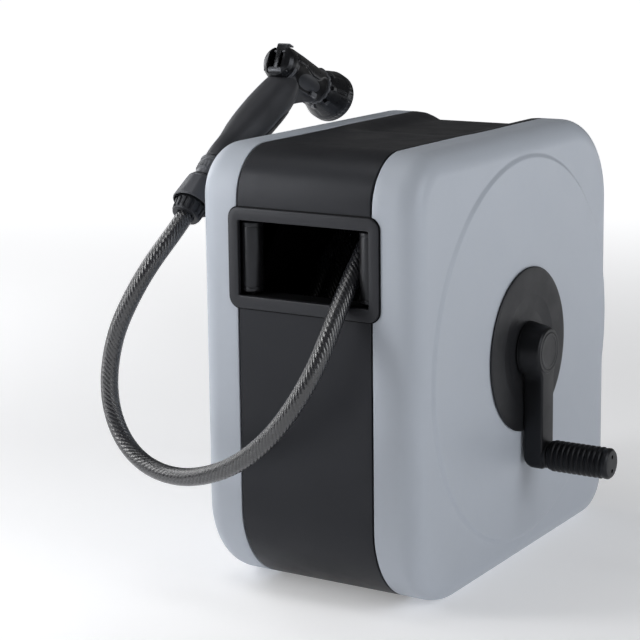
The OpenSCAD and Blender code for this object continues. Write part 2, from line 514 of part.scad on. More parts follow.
module spray_head() color("#2b2c2f") barrel_frame() difference() {
    union() {
        turned([[0, 27.7], [18.6, 27.7], [19.8, 30], [21.6, 35], [23.2, 40], [24.6, 45], [25.4, 48.6], [bell_r - 0.2, 51.5], [bell_r, 53], [bell_r, 63],
            [bell_r - 1.6, 65], [0, 65]]);
        for (a = [0 : 45 : 315]) rotate([0, 0, a]) translate([18, -2.2, 28.4]) cube([4, 4.4, 6.4]);
    }
    translate([0, 0, 27]) cylinder(h = 26.6, r = 15.05, $fn = 96);
    translate([0, 0, 53]) cylinder(h = 20, r = 23.2, $fn = 96);
}
module spray_face() color("#34353a") barrel_frame() translate([0, 0, 54]) difference() {
    turned([[0, 0], [23.1, 0], [23.1, 7], [21.6, 8.4], [19.4, 7], [0, 7]]);
    for (n = [8, 16]) for (i = [0 : n - 1]) rotate([0, 0, i * 360 / n]) translate([n * 0.95, 0, -1]) cylinder(h = 12, r = 0.9, $fn = 16);
    translate([0, 0, -1]) cylinder(h = 12, r = 2, $fn = 32);
}

// ---------- hose connector ----------
module nozzle_stub() color("#3a3b3e") neck_frame() difference() {
    union() {
        translate([0, 0, -10]) cylinder(h = 12, r = 7, $fn = 64);
        translate([0, 0, -2.5]) turned([[0, 3], [11.6, 3], [13.2, 5], [13.2, 19], [11.6, 21.4], [11.6, 25.6], [0, 25.6]]);
        translate([0, 0, 20]) cylinder(h = 16, r = 8, $fn = 64);
    }
    translate([0, 0, -11]) cylinder(h = 60, r = 4.5, $fn = 64);
}
module connector_body() color("#2b2c2f") neck_frame() difference() {
    turned([[0, 24.4], [14, 24.4], [14, 50.5], [10, 50.5], [10, 58], [6.2, 58], [6.2, 62], [0, 62]]);
    translate([0, 0, 24]) cylinder(h = 13, r = 8.05, $fn = 64);
    translate([0, 0, 24]) cylinder(h = 50, r = 4.5, $fn = 64);
}
module connector_sleeve() color("#303135") neck_frame() difference() {
    turned([[0, 26.5], [15.2, 26.5], [16.2, 28], [19.8, 54.6], [19.2, 55.9], [0, 55.9]]);
    translate([0, 0, 20]) cylinder(h = 40, r = 14.06, $fn = 96);
    translate([0, 0, 47]) cylinder(h = 12, r = 17.9, $fn = 96);
}
module hose_nut() color("#2b2c2f") neck_frame() difference() {
    union() {
        turned([[0, 51.7], [15, 51.7], [15, 56.5], [13.8, 68.8], [13, 69.6], [0, 69.6]]);
        for (a = [0 : 24 : 336]) rotate([0, 0, a]) translate([0, 0, 56]) rotate([0, -5.6, 0]) translate([13.9, -1.3, 0]) cube([2, 2.6, 11.6]);
    }
    translate([0, 0, 50]) cylinder(h = 8.2, r = 10.05, $fn = 64);
    translate([0, 0, 53]) cylinder(h = 11, r = 6.4, $fn = 64);
}
module free_hose() color("#3a3c40") swept(hose_route, [for (p = hose_route) hose_d / 2], [for (p = hose_route) hose_d / 2], unit([1, -1, 1]), 12);

left_shell();
right_shell();
front_band();
rear_band();
window_frame();
roller_left();
roller_right();
roller_pins();
left_bush();
right_bush();
rubber_feet();
case_screws();
nozzle_holder();
holder_screws();
drum_core();
drum_flange_left();
drum_flange_right();
hose_pack();
water_spigot();
spigot_o_rings();
drum_elbow();
hose_clamp();
crank_shaft();
hub_disc();
crank_arm();
crank_bolt();
hub_cap();
grip_pin();
crank_grip();
grip_end_cap();
inlet_elbow();
inlet_nipple();
nozzle_handle();
nozzle_barrel();
nozzle_rear_cap();
lever_pin();
thumb_lever();
valve_spool();
valve_seat();
spray_head();
spray_face();
head_ring();
nozzle_stub();
connector_body();
connector_sleeve();
hose_nut();
free_hose();
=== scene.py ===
import json
import math
import bpy, bmesh
import numpy as np
from mathutils import Vector, Matrix

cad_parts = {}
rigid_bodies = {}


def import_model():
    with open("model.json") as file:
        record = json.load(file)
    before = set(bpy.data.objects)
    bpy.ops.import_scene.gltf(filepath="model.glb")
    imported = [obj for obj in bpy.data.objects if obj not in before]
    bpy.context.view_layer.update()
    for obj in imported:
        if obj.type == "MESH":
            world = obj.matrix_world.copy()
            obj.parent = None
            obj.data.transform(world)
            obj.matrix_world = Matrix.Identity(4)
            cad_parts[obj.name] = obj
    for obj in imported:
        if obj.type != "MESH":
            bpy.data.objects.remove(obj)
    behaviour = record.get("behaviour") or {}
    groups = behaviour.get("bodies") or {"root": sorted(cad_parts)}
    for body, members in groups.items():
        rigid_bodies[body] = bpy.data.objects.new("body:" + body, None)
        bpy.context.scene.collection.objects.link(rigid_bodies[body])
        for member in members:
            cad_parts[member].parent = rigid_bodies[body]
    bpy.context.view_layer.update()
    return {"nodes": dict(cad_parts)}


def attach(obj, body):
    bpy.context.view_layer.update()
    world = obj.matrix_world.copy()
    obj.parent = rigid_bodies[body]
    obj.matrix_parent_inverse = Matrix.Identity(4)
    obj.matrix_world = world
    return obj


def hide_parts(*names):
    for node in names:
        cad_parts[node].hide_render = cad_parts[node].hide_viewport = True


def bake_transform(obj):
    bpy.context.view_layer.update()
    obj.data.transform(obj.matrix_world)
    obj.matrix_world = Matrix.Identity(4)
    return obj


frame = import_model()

SC = bpy.context.scene
SC.view_settings.view_transform = "Standard"
SC.view_settings.look = "None"
sin, cos, pi, tau = math.sin, math.cos, math.pi, 2 * math.pi

# =====================================================================
# camera
# =====================================================================
def make_camera():
    yaw, pitch, roll = (math.radians(a) for a in (31.743, 10.508, -0.674))
    fwd = Vector((-sin(yaw) * cos(pitch), cos(yaw) * cos(pitch), -sin(pitch)))
    right = Vector((cos(yaw), sin(yaw), 0))
    up = right.cross(fwd)
    r2 = cos(roll) * right + sin(roll) * up
    u2 = -sin(roll) * right + cos(roll) * up
    data = bpy.data.cameras.new("camera")
    data.sensor_width = 36
    data.lens = 112.53
    data.shift_y = -0.09375
    data.clip_end = 60
    ob = bpy.data.objects.new("camera", data)
    SC.collection.objects.link(ob)
    m = Matrix((r2, u2, -fwd)).transposed().to_4x4()
    m.translation = Vector((0.956588, -1.729298, 0.663463))
    ob.matrix_world = m
    SC.camera = ob
make_camera()

# =====================================================================
# materials
# =====================================================================
class Tree:
    """A short way to write a node tree."""
    def __init__(self, name):
        self.m = bpy.data.materials.new(name)
        self.m.use_nodes = True
        self.t = self.m.node_tree
        self.t.nodes.clear()
        self.out = self.add("ShaderNodeOutputMaterial")
        self.b = self.add("ShaderNodeBsdfPrincipled")
        self.link(self.b.outputs[0], self.out.inputs[0])
    def add(self, kind, **kw):
        n = self.t.nodes.new(kind)
        for k, v in kw.items():
            setattr(n, k, v)
        return n
    def link(self, a, b):
        self.t.links.new(a, b)
    def put(self, sock, v):
        if hasattr(v, "is_output") or isinstance(v, bpy.types.NodeSocket):
            self.link(v, sock)
        else:
            sock.default_value = v
    def math(self, op, a, b=None, c=None, clamp=False):
        n = self.add("ShaderNodeMath", operation=op, use_clamp=clamp)
        self.put(n.inputs[0], a)
        if b is not None: self.put(n.inputs[1], b)
        if c is not None: self.put(n.inputs[2], c)
        return n.outputs[0]
    def ramp(self, f, lo, hi, a=0.0, b=1.0, smooth=True):
        n = self.add("ShaderNodeMapRange", interpolation_type="SMOOTHSTEP" if smooth else "LINEAR", clamp=True)
        self.put(n.inputs[0], f)
        for i, v in enumerate((lo, hi, a, b)): self.put(n.inputs[i + 1], v)
        return n.outputs[0]
    def noise(self, vec, scale, detail=3.0, rough=0.55, dist=0.0):
        n = self.add("ShaderNodeTexNoise")
        self.link(vec, n.inputs["Vector"])
        n.inputs["Scale"].default_value = scale
        n.inputs["Detail"].default_value = detail
        n.inputs["Roughness"].default_value = rough
        n.inputs["Distortion"].default_value = dist
        return n.outputs["Fac"]
    def mix(self, f, a, b):
        n = self.add("ShaderNodeMix", data_type="RGBA")
        self.put(n.inputs[0], f)
        for s, v in ((n.inputs[6], a), (n.inputs[7], b)):
            self.put(s, v if not isinstance(v, tuple) or len(v) == 4 else (*v, 1))
        return n.outputs[2]
    def coords(self, scale=None):
        tc = self.add("ShaderNodeTexCoord").outputs["Object"]
        if scale is None: return tc
        mp = self.add("ShaderNodeMapping")
        mp.inputs["Scale"].default_value = scale
        self.link(tc, mp.inputs["Vector"])
        return mp.outputs[0]
    def bump(self, h, strength, dist, prev=None):
        n = self.add("ShaderNodeBump")
        n.inputs["Strength"].default_value = strength
        n.inputs["Distance"].default_value = dist
        self.link(h, n.inputs["Height"])
        if prev is not None: self.link(prev, n.inputs["Normal"])
        return n.outputs[0]

def shade3(c, k):
    return tuple(min(1.0, x * k) for x in c)

def plastic(name, base, rough=0.45, grain=0.55, gstr=0.16, mottle=0.05, wear=0.10, spec=0.5, coat=0.0, coat_rough=0.3, dust=0.0, scratch=0.0):
    """Moulded plastic: a fine erode grain, slow colour drift, rubbed edges, a little dust on top faces."""
    t = Tree(name)
    v = t.coords()
    slow = t.noise(v, 6.0, 4.0, 0.6)
    mid = t.noise(v, 55.0, 4.0, 0.6)
    col = t.mix(t.ramp(slow, 0.3, 0.7), shade3(base, 1 - mottle), shade3(base, 1 + mottle))
    col = t.mix(t.ramp(mid, 0.42, 0.75, 0.0, 0.35), col, shade3(base, 1 - 1.2 * mottle))
    geo = t.add("ShaderNodeNewGeometry")
    if wear:
        edge = t.ramp(geo.outputs["Pointiness"], 0.515, 0.60)
        patch = t.ramp(t.noise(v, 90.0, 5.0, 0.7), 0.38, 0.62)
        col = t.mix(t.math("MULTIPLY", t.math("MULTIPLY", edge, patch), wear), col, shade3(base, 1.0 + 2.2 * (1.0 if max(base) < 0.2 else 0.35)))
    if dust:
        sep = t.add("ShaderNodeSeparateXYZ")
        t.link(geo.outputs["Normal"], sep.inputs[0])
        up = t.ramp(sep.outputs[2], 0.55, 1.0)
        specks = t.ramp(t.noise(v, 210.0, 5.0, 0.75), 0.45, 0.72)
        col = t.mix(t.math("MULTIPLY", t.math("MULTIPLY", up, specks), dust), col, (0.42, 0.41, 0.39))
    t.link(col, t.b.inputs["Base Color"])
    r = t.ramp(t.noise(v, 24.0, 5.0, 0.65), 0.3, 0.7, rough - 0.05, rough + 0.06)
    t.link(r, t.b.inputs["Roughness"])
    t.b.inputs["Specular IOR Level"].default_value = spec
    t.b.inputs["Specular Tint"].default_value = (0.90, 0.93, 1.0, 1)
    if coat:
        t.b.inputs["Coat Weight"].default_value = coat
        t.b.inputs["Coat Roughness"].default_value = coat_rough
    vo = t.add("ShaderNodeTexVoronoi", feature="F1")
    t.link(v, vo.inputs["Vector"])
    vo.inputs["Scale"].default_value = 1000.0 / grain
    n = t.bump(vo.outputs["Distance"], gstr, 0.00022)
    if scratch:
        long = t.noise(t.coords((30.0, 900.0, 60.0)), 1.0, 2.0, 0.5)
        n = t.bump(t.ramp(long, 0.62, 0.70), scratch, 0.00008, n)
    n = t.bump(t.noise(v, 18.0, 2.0, 0.5), 0.02, 0.0015, n)
    t.link(n, t.b.inputs["Normal"])
    return t.m

def metal(name, base, rough=0.32, turned=False):
    t = Tree(name)
    v = t.coords()
    t.b.inputs["Metallic"].default_value = 1.0
    col = t.mix(t.ramp(t.noise(v, 60.0, 5.0, 0.7), 0.35, 0.7), shade3(base, 0.82), base)
    col = t.mix(t.ramp(t.noise(v, 300.0, 3.0, 0.6), 0.62, 0.8, 0.0, 0.5), col, shade3(base, 0.55))
    t.link(col, t.b.inputs["Base Color"])
    t.link(t.ramp(t.noise(v, 130.0, 4.0, 0.6), 0.3, 0.7, rough - 0.08, rough + 0.12), t.b.inputs["Roughness"])
    t.link(t.bump(t.noise(t.coords((60.0, 1200.0, 1200.0)) if turned else v, 1.0 if turned else 900.0, 3.0), 0.12, 0.0001), t.b.inputs["Normal"])
    return t.m

def rubber(name, base, rough=0.62, spec=0.3):
    t = Tree(name)
    v = t.coords()
    col = t.mix(t.ramp(t.noise(v, 40.0, 5.0, 0.7), 0.35, 0.7), shade3(base, 0.8), shade3(base, 1.35))
    t.link(col, t.b.inputs["Base Color"])
    t.link(t.ramp(t.noise(v, 70.0, 4.0), 0.3, 0.7, rough - 0.08, rough + 0.1), t.b.inputs["Roughness"])
    t.b.inputs["Specular IOR Level"].default_value = spec
    t.link(t.bump(t.noise(v, 1400.0, 4.0, 0.6), 0.22, 0.00015), t.b.inputs["Normal"])
    return t.m

def hose_material(name, light=(0.024, 0.025, 0.030), dark=(0.003, 0.0032, 0.004), strands=11.0, pitch=0.0047, coat=0.2, spec=0.95):
    """Twisted strands with a weak crossing family, under a satin skin. hs is the distance along the hose, hc and hn its angle."""
    t = Tree(name)
    def attr(n):
        a = t.add("ShaderNodeAttribute", attribute_name=n)
        return a.outputs["Fac"]
    s, c, n = attr("hs"), attr("hc"), attr("hn")
    ang = t.math("DIVIDE", t.math("ARCTAN2", n, c), tau)
    along = t.math("DIVIDE", s, pitch)
    na = t.math("MULTIPLY", ang, strands)
    u = t.math("ADD", na, along)
    w = t.math("SUBTRACT", na, along)
    fu, fw = t.math("FRACT", u), t.math("FRACT", w)
    cell = t.math("ADD", t.math("FLOOR", u), t.math("MULTIPLY", t.math("FLOOR", w), 1.0))
    par = t.math("PINGPONG", cell, 1.0)
    pu = t.math("SINE", t.math("MULTIPLY", fu, pi))
    pw = t.math("SINE", t.math("MULTIPLY", fw, pi))
    over = t.math("GREATER_THAN", par, 0.5)
    nover = t.math("SUBTRACT", 1.0, over)
    # fine filaments inside each strand
    fil = t.math("ABSOLUTE", t.math("SINE", t.math("MULTIPLY", t.math("ADD", t.math("MULTIPLY", fu, over), t.math("MULTIPLY", fw, nover)), 4 * pi)))
    height = t.math("ADD", t.math("MULTIPLY", pu, 0.86), t.math("MULTIPLY", pw, 0.14))
    bright = t.math("ADD", t.math("MULTIPLY", t.ramp(pu, 0.12, 0.80), 0.86), t.math("MULTIPLY", t.ramp(pw, 0.2, 0.9), 0.14))
    bright = t.math("MULTIPLY", bright, t.math("ADD", t.math("MULTIPLY", fil, 0.12), 0.88), clamp=True)
    v = t.coords()
    drift = t.ramp(t.noise(v, 30.0, 3.0), 0.3, 0.7, 0.85, 1.1)
    col = t.mix(t.math("MULTIPLY", bright, drift, clamp=True), dark, light)
    scuff = t.ramp(t.noise(v, 260.0, 5.0, 0.75), 0.60, 0.78, 0.0, 0.22)
    col = t.mix(scuff, col, (0.12, 0.12, 0.125))
    t.link(col, t.b.inputs["Base Color"])
    t.link(t.ramp(t.noise(v, 80.0, 4.0), 0.3, 0.7, 0.23, 0.30), t.b.inputs["Roughness"])
    t.b.inputs["Coat Weight"].default_value = coat
    t.b.inputs["Coat Roughness"].default_value = 0.22
    t.b.inputs["Specular IOR Level"].default_value = spec
    t.link(t.bump(height, 0.85, 0.00055), t.b.inputs["Normal"])
    return t.m

M_SHELL = plastic("shell_plastic_satin", (0.43, 0.465, 0.52), 0.42, 0.5, 0.10, 0.018, 0.25, 0.45, dust=0.04)
M_BAND = plastic("band_plastic_matte", (0.0090, 0.0094, 0.0120), 0.42, 0.6, 0.14, 0.07, 0.12, 0.34, dust=0.008)
M_FRAME = plastic("frame_plastic_matte", (0.0145, 0.0148, 0.0172), 0.38, 0.55, 0.16, 0.07, 0.14, 0.4)
# painted shade: near-black used for the inside of the shells, the window tunnel and the frame ring, standing in for the
# shade inside the case
M_INNER_SHADE = plastic("inner_painted_shade_black", (0.003, 0.003, 0.0034), 0.6, 0.6, 0.10, 0.05, 0.0, 0.15)
M_ROLLER = plastic("roller_plastic_smooth", (0.0070, 0.0070, 0.0080), 0.34, 0.5, 0.05, 0.06, 0.10, 0.45, scratch=0.25)
M_HUB = plastic("hub_plastic_satin", (0.0095, 0.0098, 0.0113), 0.44, 0.55, 0.12, 0.06, 0.12, 0.30)
M_CRANK = plastic("crank_plastic_matte", (0.0034, 0.0035, 0.0042), 0.40, 0.5, 0.12, 0.06, 0.16, 0.33)
M_GRIP = plastic("grip_plastic_rubbed", (0.0028, 0.0029, 0.0034), 0.40, 0.45, 0.14, 0.06, 0.20, 0.27)
M_CAP = plastic("cap_plastic_satin", (0.0065, 0.0067, 0.0077), 0.40, 0.5, 0.12, 0.06, 0.16, 0.36)
# painted shade: near-black drum plastic, made darker still to stand in for the shade inside the case
M_DRUM_SHADE = plastic("drum_plastic", (0.005, 0.005, 0.0056), 0.60, 0.8, 0.10, 0.06, 0.05, 0.2)
M_WHITE = plastic("bush_plastic_white", (0.62, 0.62, 0.58), 0.35, 0.8, 0.05, 0.03, 0.0, 0.5)
M_NOZ = plastic("nozzle_plastic_satin", (0.0034, 0.0035, 0.0042), 0.27, 0.5, 0.08, 0.07, 0.16, 0.42)
M_HANDLE = plastic("handle_plastic_soft", (0.027, 0.0275, 0.031), 0.46, 0.5, 0.10, 0.07, 0.12, 0.5)
M_SOFT = rubber("nozzle_soft_grip", (0.003, 0.003, 0.0035), 0.5, 0.15)
M_TRIM = plastic("nozzle_trim_grey", (0.085, 0.088, 0.096), 0.36, 0.5, 0.10, 0.06, 0.14, 0.5)
M_CONN = plastic("connector_plastic_satin", (0.015, 0.0155, 0.018), 0.42, 0.5, 0.14, 0.06, 0.16, 0.4)
M_SKIRT = plastic("skirt_plastic_grey", (0.062, 0.064, 0.072), 0.40, 0.5, 0.12, 0.06, 0.14, 0.45)
M_RUBBER = rubber("seal_rubber_black", (0.012, 0.012, 0.012))
M_STEEL = metal("plated_steel", (0.62, 0.63, 0.65), 0.30)
M_BRASS = metal("screw_steel", (0.55, 0.56, 0.58), 0.34, True)
M_HOSE = hose_material("braided_hose")
# painted shading: the wound hose is a second copy of the hose material, its colours, gloss and coat set for the shade
# inside the case
M_WOUND_SHADE_COPY = hose_material("wound_hose", (0.030, 0.031, 0.034), (0.004, 0.004, 0.0045), coat=0.1, spec=0.6)

# =====================================================================
# mesh helpers: everything is written in millimetres and scaled once
# =====================================================================
def shade(me, angle=35):
    me.polygons.foreach_set("use_smooth", np.ones(len(me.polygons), bool))
    me.set_sharp_from_angle(angle=math.radians(angle))

def make(name, verts, faces, mats, angle=35, face_mat=None, recalc=True, merge=0.0):
    me = bpy.data.meshes.new(name)
    me.from_pydata([(float(a) * 0.001, float(b) * 0.001, float(c) * 0.001) for a, b, c in verts], [], [tuple(int(i) for i in f) for f in faces])
    for m in (mats if isinstance(mats, (list, tuple)) else [mats]):
        me.materials.append(m)
    if face_mat is not None:
        me.polygons.foreach_set("material_index", np.asarray(face_mat, np.int32))
    if recalc or merge:
        bm = bmesh.new()
        bm.from_mesh(me)
        if merge:
            bmesh.ops.remove_doubles(bm, verts=bm.verts, dist=merge * 0.001)
        bmesh.ops.recalc_face_normals(bm, faces=bm.faces)
        bm.to_mesh(me)
        bm.free()
    shade(me, angle)
    ob = bpy.data.objects.new(name, me)
    SC.collection.objects.link(ob)
    return ob

def grid_faces(m, n, wrap_n=True, wrap_m=False, base=0):
    f = []
    for i in range(m if wrap_m else m - 1):
        i2 = (i + 1) % m
        for k in range(n if wrap_n else n - 1):
            k2 = (k + 1) % n
            f.append((base + i * n + k, base + i * n + k2, base + i2 * n + k2, base + i2 * n + k))
    return f

def loft(name, rings, mats, angle=35, caps=(True, True), wrap=False, face_mat=None):
    rings = np.asarray(rings, float)
    m, n = rings.shape[:2]
    v = rings.reshape(-1, 3)
    f = grid_faces(m, n, True, wrap)
    if not wrap:
        if caps[0]: f.append(tuple(range(n)))
        if caps[1]: f.append(tuple((m - 1) * n + k for k in range(n)))
    return make(name, v, f, mats, angle, face_mat)

def soft(pts, k=4):
    """A profile with rounded corners: each point is (r, h) or (r, h, radius)."""
    out = []
    n = len(pts)
    for i, p in enumerate(pts):
        if len(p) < 3 or p[2] <= 0 or i in (0, n - 1):
            out.append((p[0], p[1]))
            continue
        a, b, c = np.array(pts[i - 1][:2], float), np.array(p[:2], float), np.array(pts[i + 1][:2], float)
        u, w = a - b, c - b
        lu, lw = np.linalg.norm(u), np.linalg.norm(w)
        u, w = u / lu, w / lw
        half = math.acos(max(-1, min(1, float(u @ w)))) / 2
        if half > pi / 2 - 0.02:
            out.append(tuple(b))
            continue
        d = min(p[2] / math.tan(half), lu * 0.48, lw * 0.48)
        r = d * math.tan(half)
        cen = b + (u + w) / np.linalg.norm(u + w) * (r / math.sin(half))
        s, e = b + u * d - cen, b + w * d - cen
        a0 = math.atan2(s[1], s[0])
        da = (math.atan2(e[1], e[0]) - a0 + pi) % tau - pi
        for q in range(k + 1):
            t = a0 + da * q / k
            out.append((cen[0] + r * cos(t), cen[1] + r * sin(t)))
    return out

class Frame:
    """origin plus axes: a and b across, h along."""
    def __init__(self, o, ea, eb, eh):
        self.o, self.a, self.b, self.h = (np.array(x, float) for x in (o, ea, eb, eh))
    def at(self, a, b, h):
        a, b, h = np.asarray(a, float), np.asarray(b, float), np.asarray(h, float)
        return self.o + a[..., None] * self.a + b[..., None] * self.b + h[..., None] * self.h
DRUM = Frame((0, 7, 217), (0, 1, 0), (0, 0, 1), (1, 0, 0))
GRIP = Frame((0, 7, 112.5), (0, 1, 0), (0, 0, 1), (1, 0, 0))
ST, CT = sin(math.radians(24)), cos(math.radians(24))
BAR = Frame((-150, 30, 470), (1, 0, 0), (0, ST, CT), (0, CT, -ST))
SN, CN = sin(math.radians(132)), cos(math.radians(132))
NECK = Frame((-150, -134, 403), (1, 0, 0), (0, CN, SN), (0, -SN, CN))
def vertical(x, y, z=0):
    return Frame((x, y, z), (1, 0, 0), (0, 1, 0), (0, 0, 1))

def lathe(name, prof, fr, mats, n=96, angle=35, closed=False, mod=None, face_mat=None):
    """prof is [(r, h)]. closed joins its ends, for a ring. mod(r, h, phi) may change the radius."""
    ph = np.arange(n) * tau / n
    rows, verts, faces = [], [], []
    for r, h in prof:
        if r < 1e-6:
            rows.append([len(verts)])
            verts.append(fr.at(0.0, 0.0, h))
        else:
            rr = np.full(n, r) if mod is None else mod(np.full(n, r), h, ph)
            rows.append(list(range(len(verts), len(verts) + n)))
            verts.extend(fr.at(rr * np.cos(ph), rr * np.sin(ph), np.full(n, h)))
    pairs = list(zip(rows, rows[1:])) + ([(rows[-1], rows[0])] if closed else [])
    for a, b in pairs:
        for k in range(n):
            k2 = (k + 1) % n
            if len(a) == 1 and len(b) == 1: continue
            if len(a) == 1: faces.append((a[0], b[k2], b[k]))
            elif len(b) == 1: faces.append((a[k], a[k2], b[0]))
            else: faces.append((a[k], a[k2], b[k2], b[k]))
    if not closed:
        for row in (rows[0], rows[-1]):
            if len(row) > 1: faces.append(tuple(row))
    return make(name, verts, faces, mats, angle, face_mat)

def bake_mods(ob):
    dg = bpy.context.evaluated_depsgraph_get()
    dg.update()
    me = bpy.data.meshes.new_from_object(ob.evaluated_get(dg), preserve_all_data_layers=True, depsgraph=dg)
    old = ob.data
    ob.modifiers.clear()
    ob.data = me
    bpy.data.meshes.remove(old)
    return ob

def boolean(ob, tools, op="DIFFERENCE", angle=35):
    for tool in (tools if isinstance(tools, (list, tuple)) else [tools]):
        md = ob.modifiers.new("b", "BOOLEAN")
        md.operation, md.object, md.solver = op, tool, "EXACT"
        bake_mods(ob)
        bpy.data.objects.remove(tool)
    shade(ob.data, angle)
    return ob

def join(parts, name):
    bpy.ops.object.select_all(action="DESELECT")
    for p in parts: p.select_set(True)
    bpy.context.view_layer.objects.active = parts[0]
    bpy.ops.object.join()
    parts[0].name = name
    return parts[0]

def slab(name, fr, a0, a1, b0, b1, h0, h1, mats, bevel=0.6, seg=3, angle=35):
    """A box with rounded edges in a frame."""
    c = [(a, b, h) for a in (a0, a1) for b in (b0, b1) for h in (h0, h1)]
    v = [fr.at(*p) for p in c]
    f = [(0, 1, 3, 2), (4, 6, 7, 5), (0, 4, 5, 1), (2, 3, 7, 6), (0, 2, 6, 4), (1, 5, 7, 3)]
    ob = make(name, v, f, mats, angle)
    if bevel:
        md = ob.modifiers.new("v", "BEVEL")
        md.width, md.segments, md.limit_method = bevel * 0.001, seg, "NONE"
        bake_mods(ob)
        shade(ob.data, angle)
    return ob

def place(ob, body, nodes=()):
    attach(ob, body)
    if nodes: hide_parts(*([nodes] if isinstance(nodes, str) else nodes))
    return ob

# =====================================================================
# hoses
# =====================================================================
HOSE_R = 8.6
ROUTE = [
    (42, 7, 337.5), (42, -19, 338), (42.5, -44.5, 342), (42.5, -69.5, 348), (43, -94.5, 355), (43.5, -119.5, 359.5),
    (43.5, -143, 357.5), (44, -164.3, 348.2), (44, -183.9, 331.8), (44.5, -204.2, 313.4), (46, -225.2, 293.9), (46, -242.8, 273.2),
    (43, -256, 251.5), (35.5, -265.5, 229.5), (24, -271.5, 208), (9, -274, 187.5), (-9, -274.5, 169), (-29.5, -273.5, 153),
    (-52, -271.5, 140), (-76, -269, 130.5), (-100.5, -266, 124.5), (-126, -262.5, 123.5), (-150.5, -258.5, 128), (-172.5, -255, 140),
    (-188.5, -252, 159), (-197.5, -249.5, 182), (-199, -248, 207), (-195.5, -246.5, 232), (-188, -245, 256), (-178, -241, 279),
    (-168, -234, 301), (-159, -222.5, 321.5), (-152, -205, 340.5), (-150, -186.6, 355.6), (-150, -184.6, 357.4)]

def spline(p, step, smooth=2):
    """An even, smooth line near the given points: Catmull-Rom, then a few averaging passes that keep the ends."""
    p = np.array(p, float)
    q = np.vstack([2 * p[0] - p[1], p, 2 * p[-1] - p[-2]])
    out = []
    for i in range(len(p) - 1):
        a, b, c, d = q[i:i + 4]
        for k in range(12):
            t = k / 12
            out.append(0.5 * (2 * b + (c - a) * t + (2 * a - 5 * b + 4 * c - d) * t * t + (3 * b - a - 3 * c + d) * t ** 3))
    out.append(p[-1])
    out = np.array(out)
    for _ in range(smooth * 20):
        out[2:-2] = 0.25 * out[1:-3] + 0.5 * out[2:-2] + 0.25 * out[3:-1]
    s = np.r_[0, np.cumsum(np.linalg.norm(np.diff(out, axis=0), axis=1))]
    n = max(2, int(round(s[-1] / step)) + 1)
    g = np.linspace(0, s[-1], n)
    return np.stack([np.interp(g, s, out[:, k]) for k in range(3)], 1), g

def tube(name, line, dist, r, mats, n=28, ref=(0, 0, 1)):
    t = np.gradient(line, axis=0)
    t /= np.linalg.norm(t, axis=1)[:, None]
    u = np.array(ref, float)
    u -= (u @ t[0]) * t[0]
    u /= np.linalg.norm(u)
    ph = np.arange(n) * tau / n
    rings = []
    for c, d in zip(line, t):
        u = u - (u @ d) * d
        u /= np.linalg.norm(u)
        w = np.cross(d, u)
        rings.append(c + r * (np.cos(ph)[:, None] * u + np.sin(ph)[:, None] * w))
    rings = np.array(rings)
    m = len(rings)
    f = grid_faces(m, n)
    f.append(tuple(range(n)))
    f.append(tuple((m - 1) * n + k for k in range(n)))
    ob = make(name, rings.reshape(-1, 3), f, mats, 50)
    me = ob.data
    for nm, val in (("hs", np.repeat(dist * 0.001, n)), ("hc", np.tile(np.cos(ph), m)), ("hn", np.tile(np.sin(ph), m))):
        at = me.attributes.new(nm, "FLOAT", "POINT")
        at.data.foreach_set("value", val.astype(np.float32))
    return ob

line, dist = spline(ROUTE, 4.0)
hose = tube("hose", line, dist, HOSE_R - 0.05, M_HOSE, 32, (1, -1, 1))
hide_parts("free_hose")
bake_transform(hose)

# =====================================================================
# case outline: a walk round the side view, clockwise from the floor
# =====================================================================
Y0, Y1, Z0, Z1 = -212.5, 212.5, 0.0, 430.0
CORNERS = ((Y0 + 50, Z1 - 50, 50, -1, 1), (Y0 + 86, 86, 86, -1, -1), (Y1 - 45, 45, 45, 1, -1), (Y1 - 90, Z1 - 90, 90, 1, 1))
SEGS = (("l", (-90, 0), (-126.5, 0)), ("a", (-126.5, 86), 86, 270, 180), ("l", (-212.5, 86), (-212.5, 380)), ("a", (-162.5, 380), 50, 180, 90),
        ("l", (-162.5, 430), (122.5, 430)), ("a", (122.5, 340), 90, 90, 0), ("l", (212.5, 340), (212.5, 45)), ("a", (167.5, 45), 45, 0, -90),
        ("l", (167.5, 0), (-90, 0)))
SEG_LEN = [math.dist(s[1], s[2]) if s[0] == "l" else s[2] * pi / 2 for s in SEGS]
PERIM = sum(SEG_LEN)
S_TOP = sum(SEG_LEN[:5])

def round_at(s):
    """Point and outward direction on the outline at walked distance s."""
    s = s % PERIM
    for seg, ln in zip(SEGS, SEG_LEN):
        if s <= ln: break
        s -= ln
    if seg[0] == "l":
        (ya, za), (yb, zb) = seg[1], seg[2]
        dy, dz = (yb - ya) / ln, (zb - za) / ln
        return ya + dy * s, za + dz * s, -dz, dy
    (cy, cz), r, a0, a1 = seg[1:]
    a = math.radians(a0 + (a1 - a0) * s / ln)
    return cy + r * cos(a), cz + r * sin(a), cos(a), sin(a)

def depth_in(y, z):
    """How far a point is inside the outline."""
    d = np.minimum.reduce([y - Y0, Y1 - y, z - Z0, Z1 - z])
    for cy, cz, r, sy, sz in CORNERS:
        m = ((y - cy) * sy > 0) & ((z - cz) * sz > 0)
        d = np.where(m, r - np.hypot(y - cy, z - cz), d)
    return d

def sstep(u):
    u = np.clip(u, 0.0, 1.0)
    return u * u * (3 - 2 * u)

def jog(y, z):
    return 3.0 * sstep((y + 58) / 60) * sstep((z - 300) / 60)

def scoop(x, s):
    t = np.where(s < S_TOP, s - S_TOP, np.degrees((s - S_TOP) / 90.0))
    return 7.5 * sstep((70.2 - np.abs(x)) / 25) * sstep((t + 180) / 70) * sstep((66 - t) / 30)

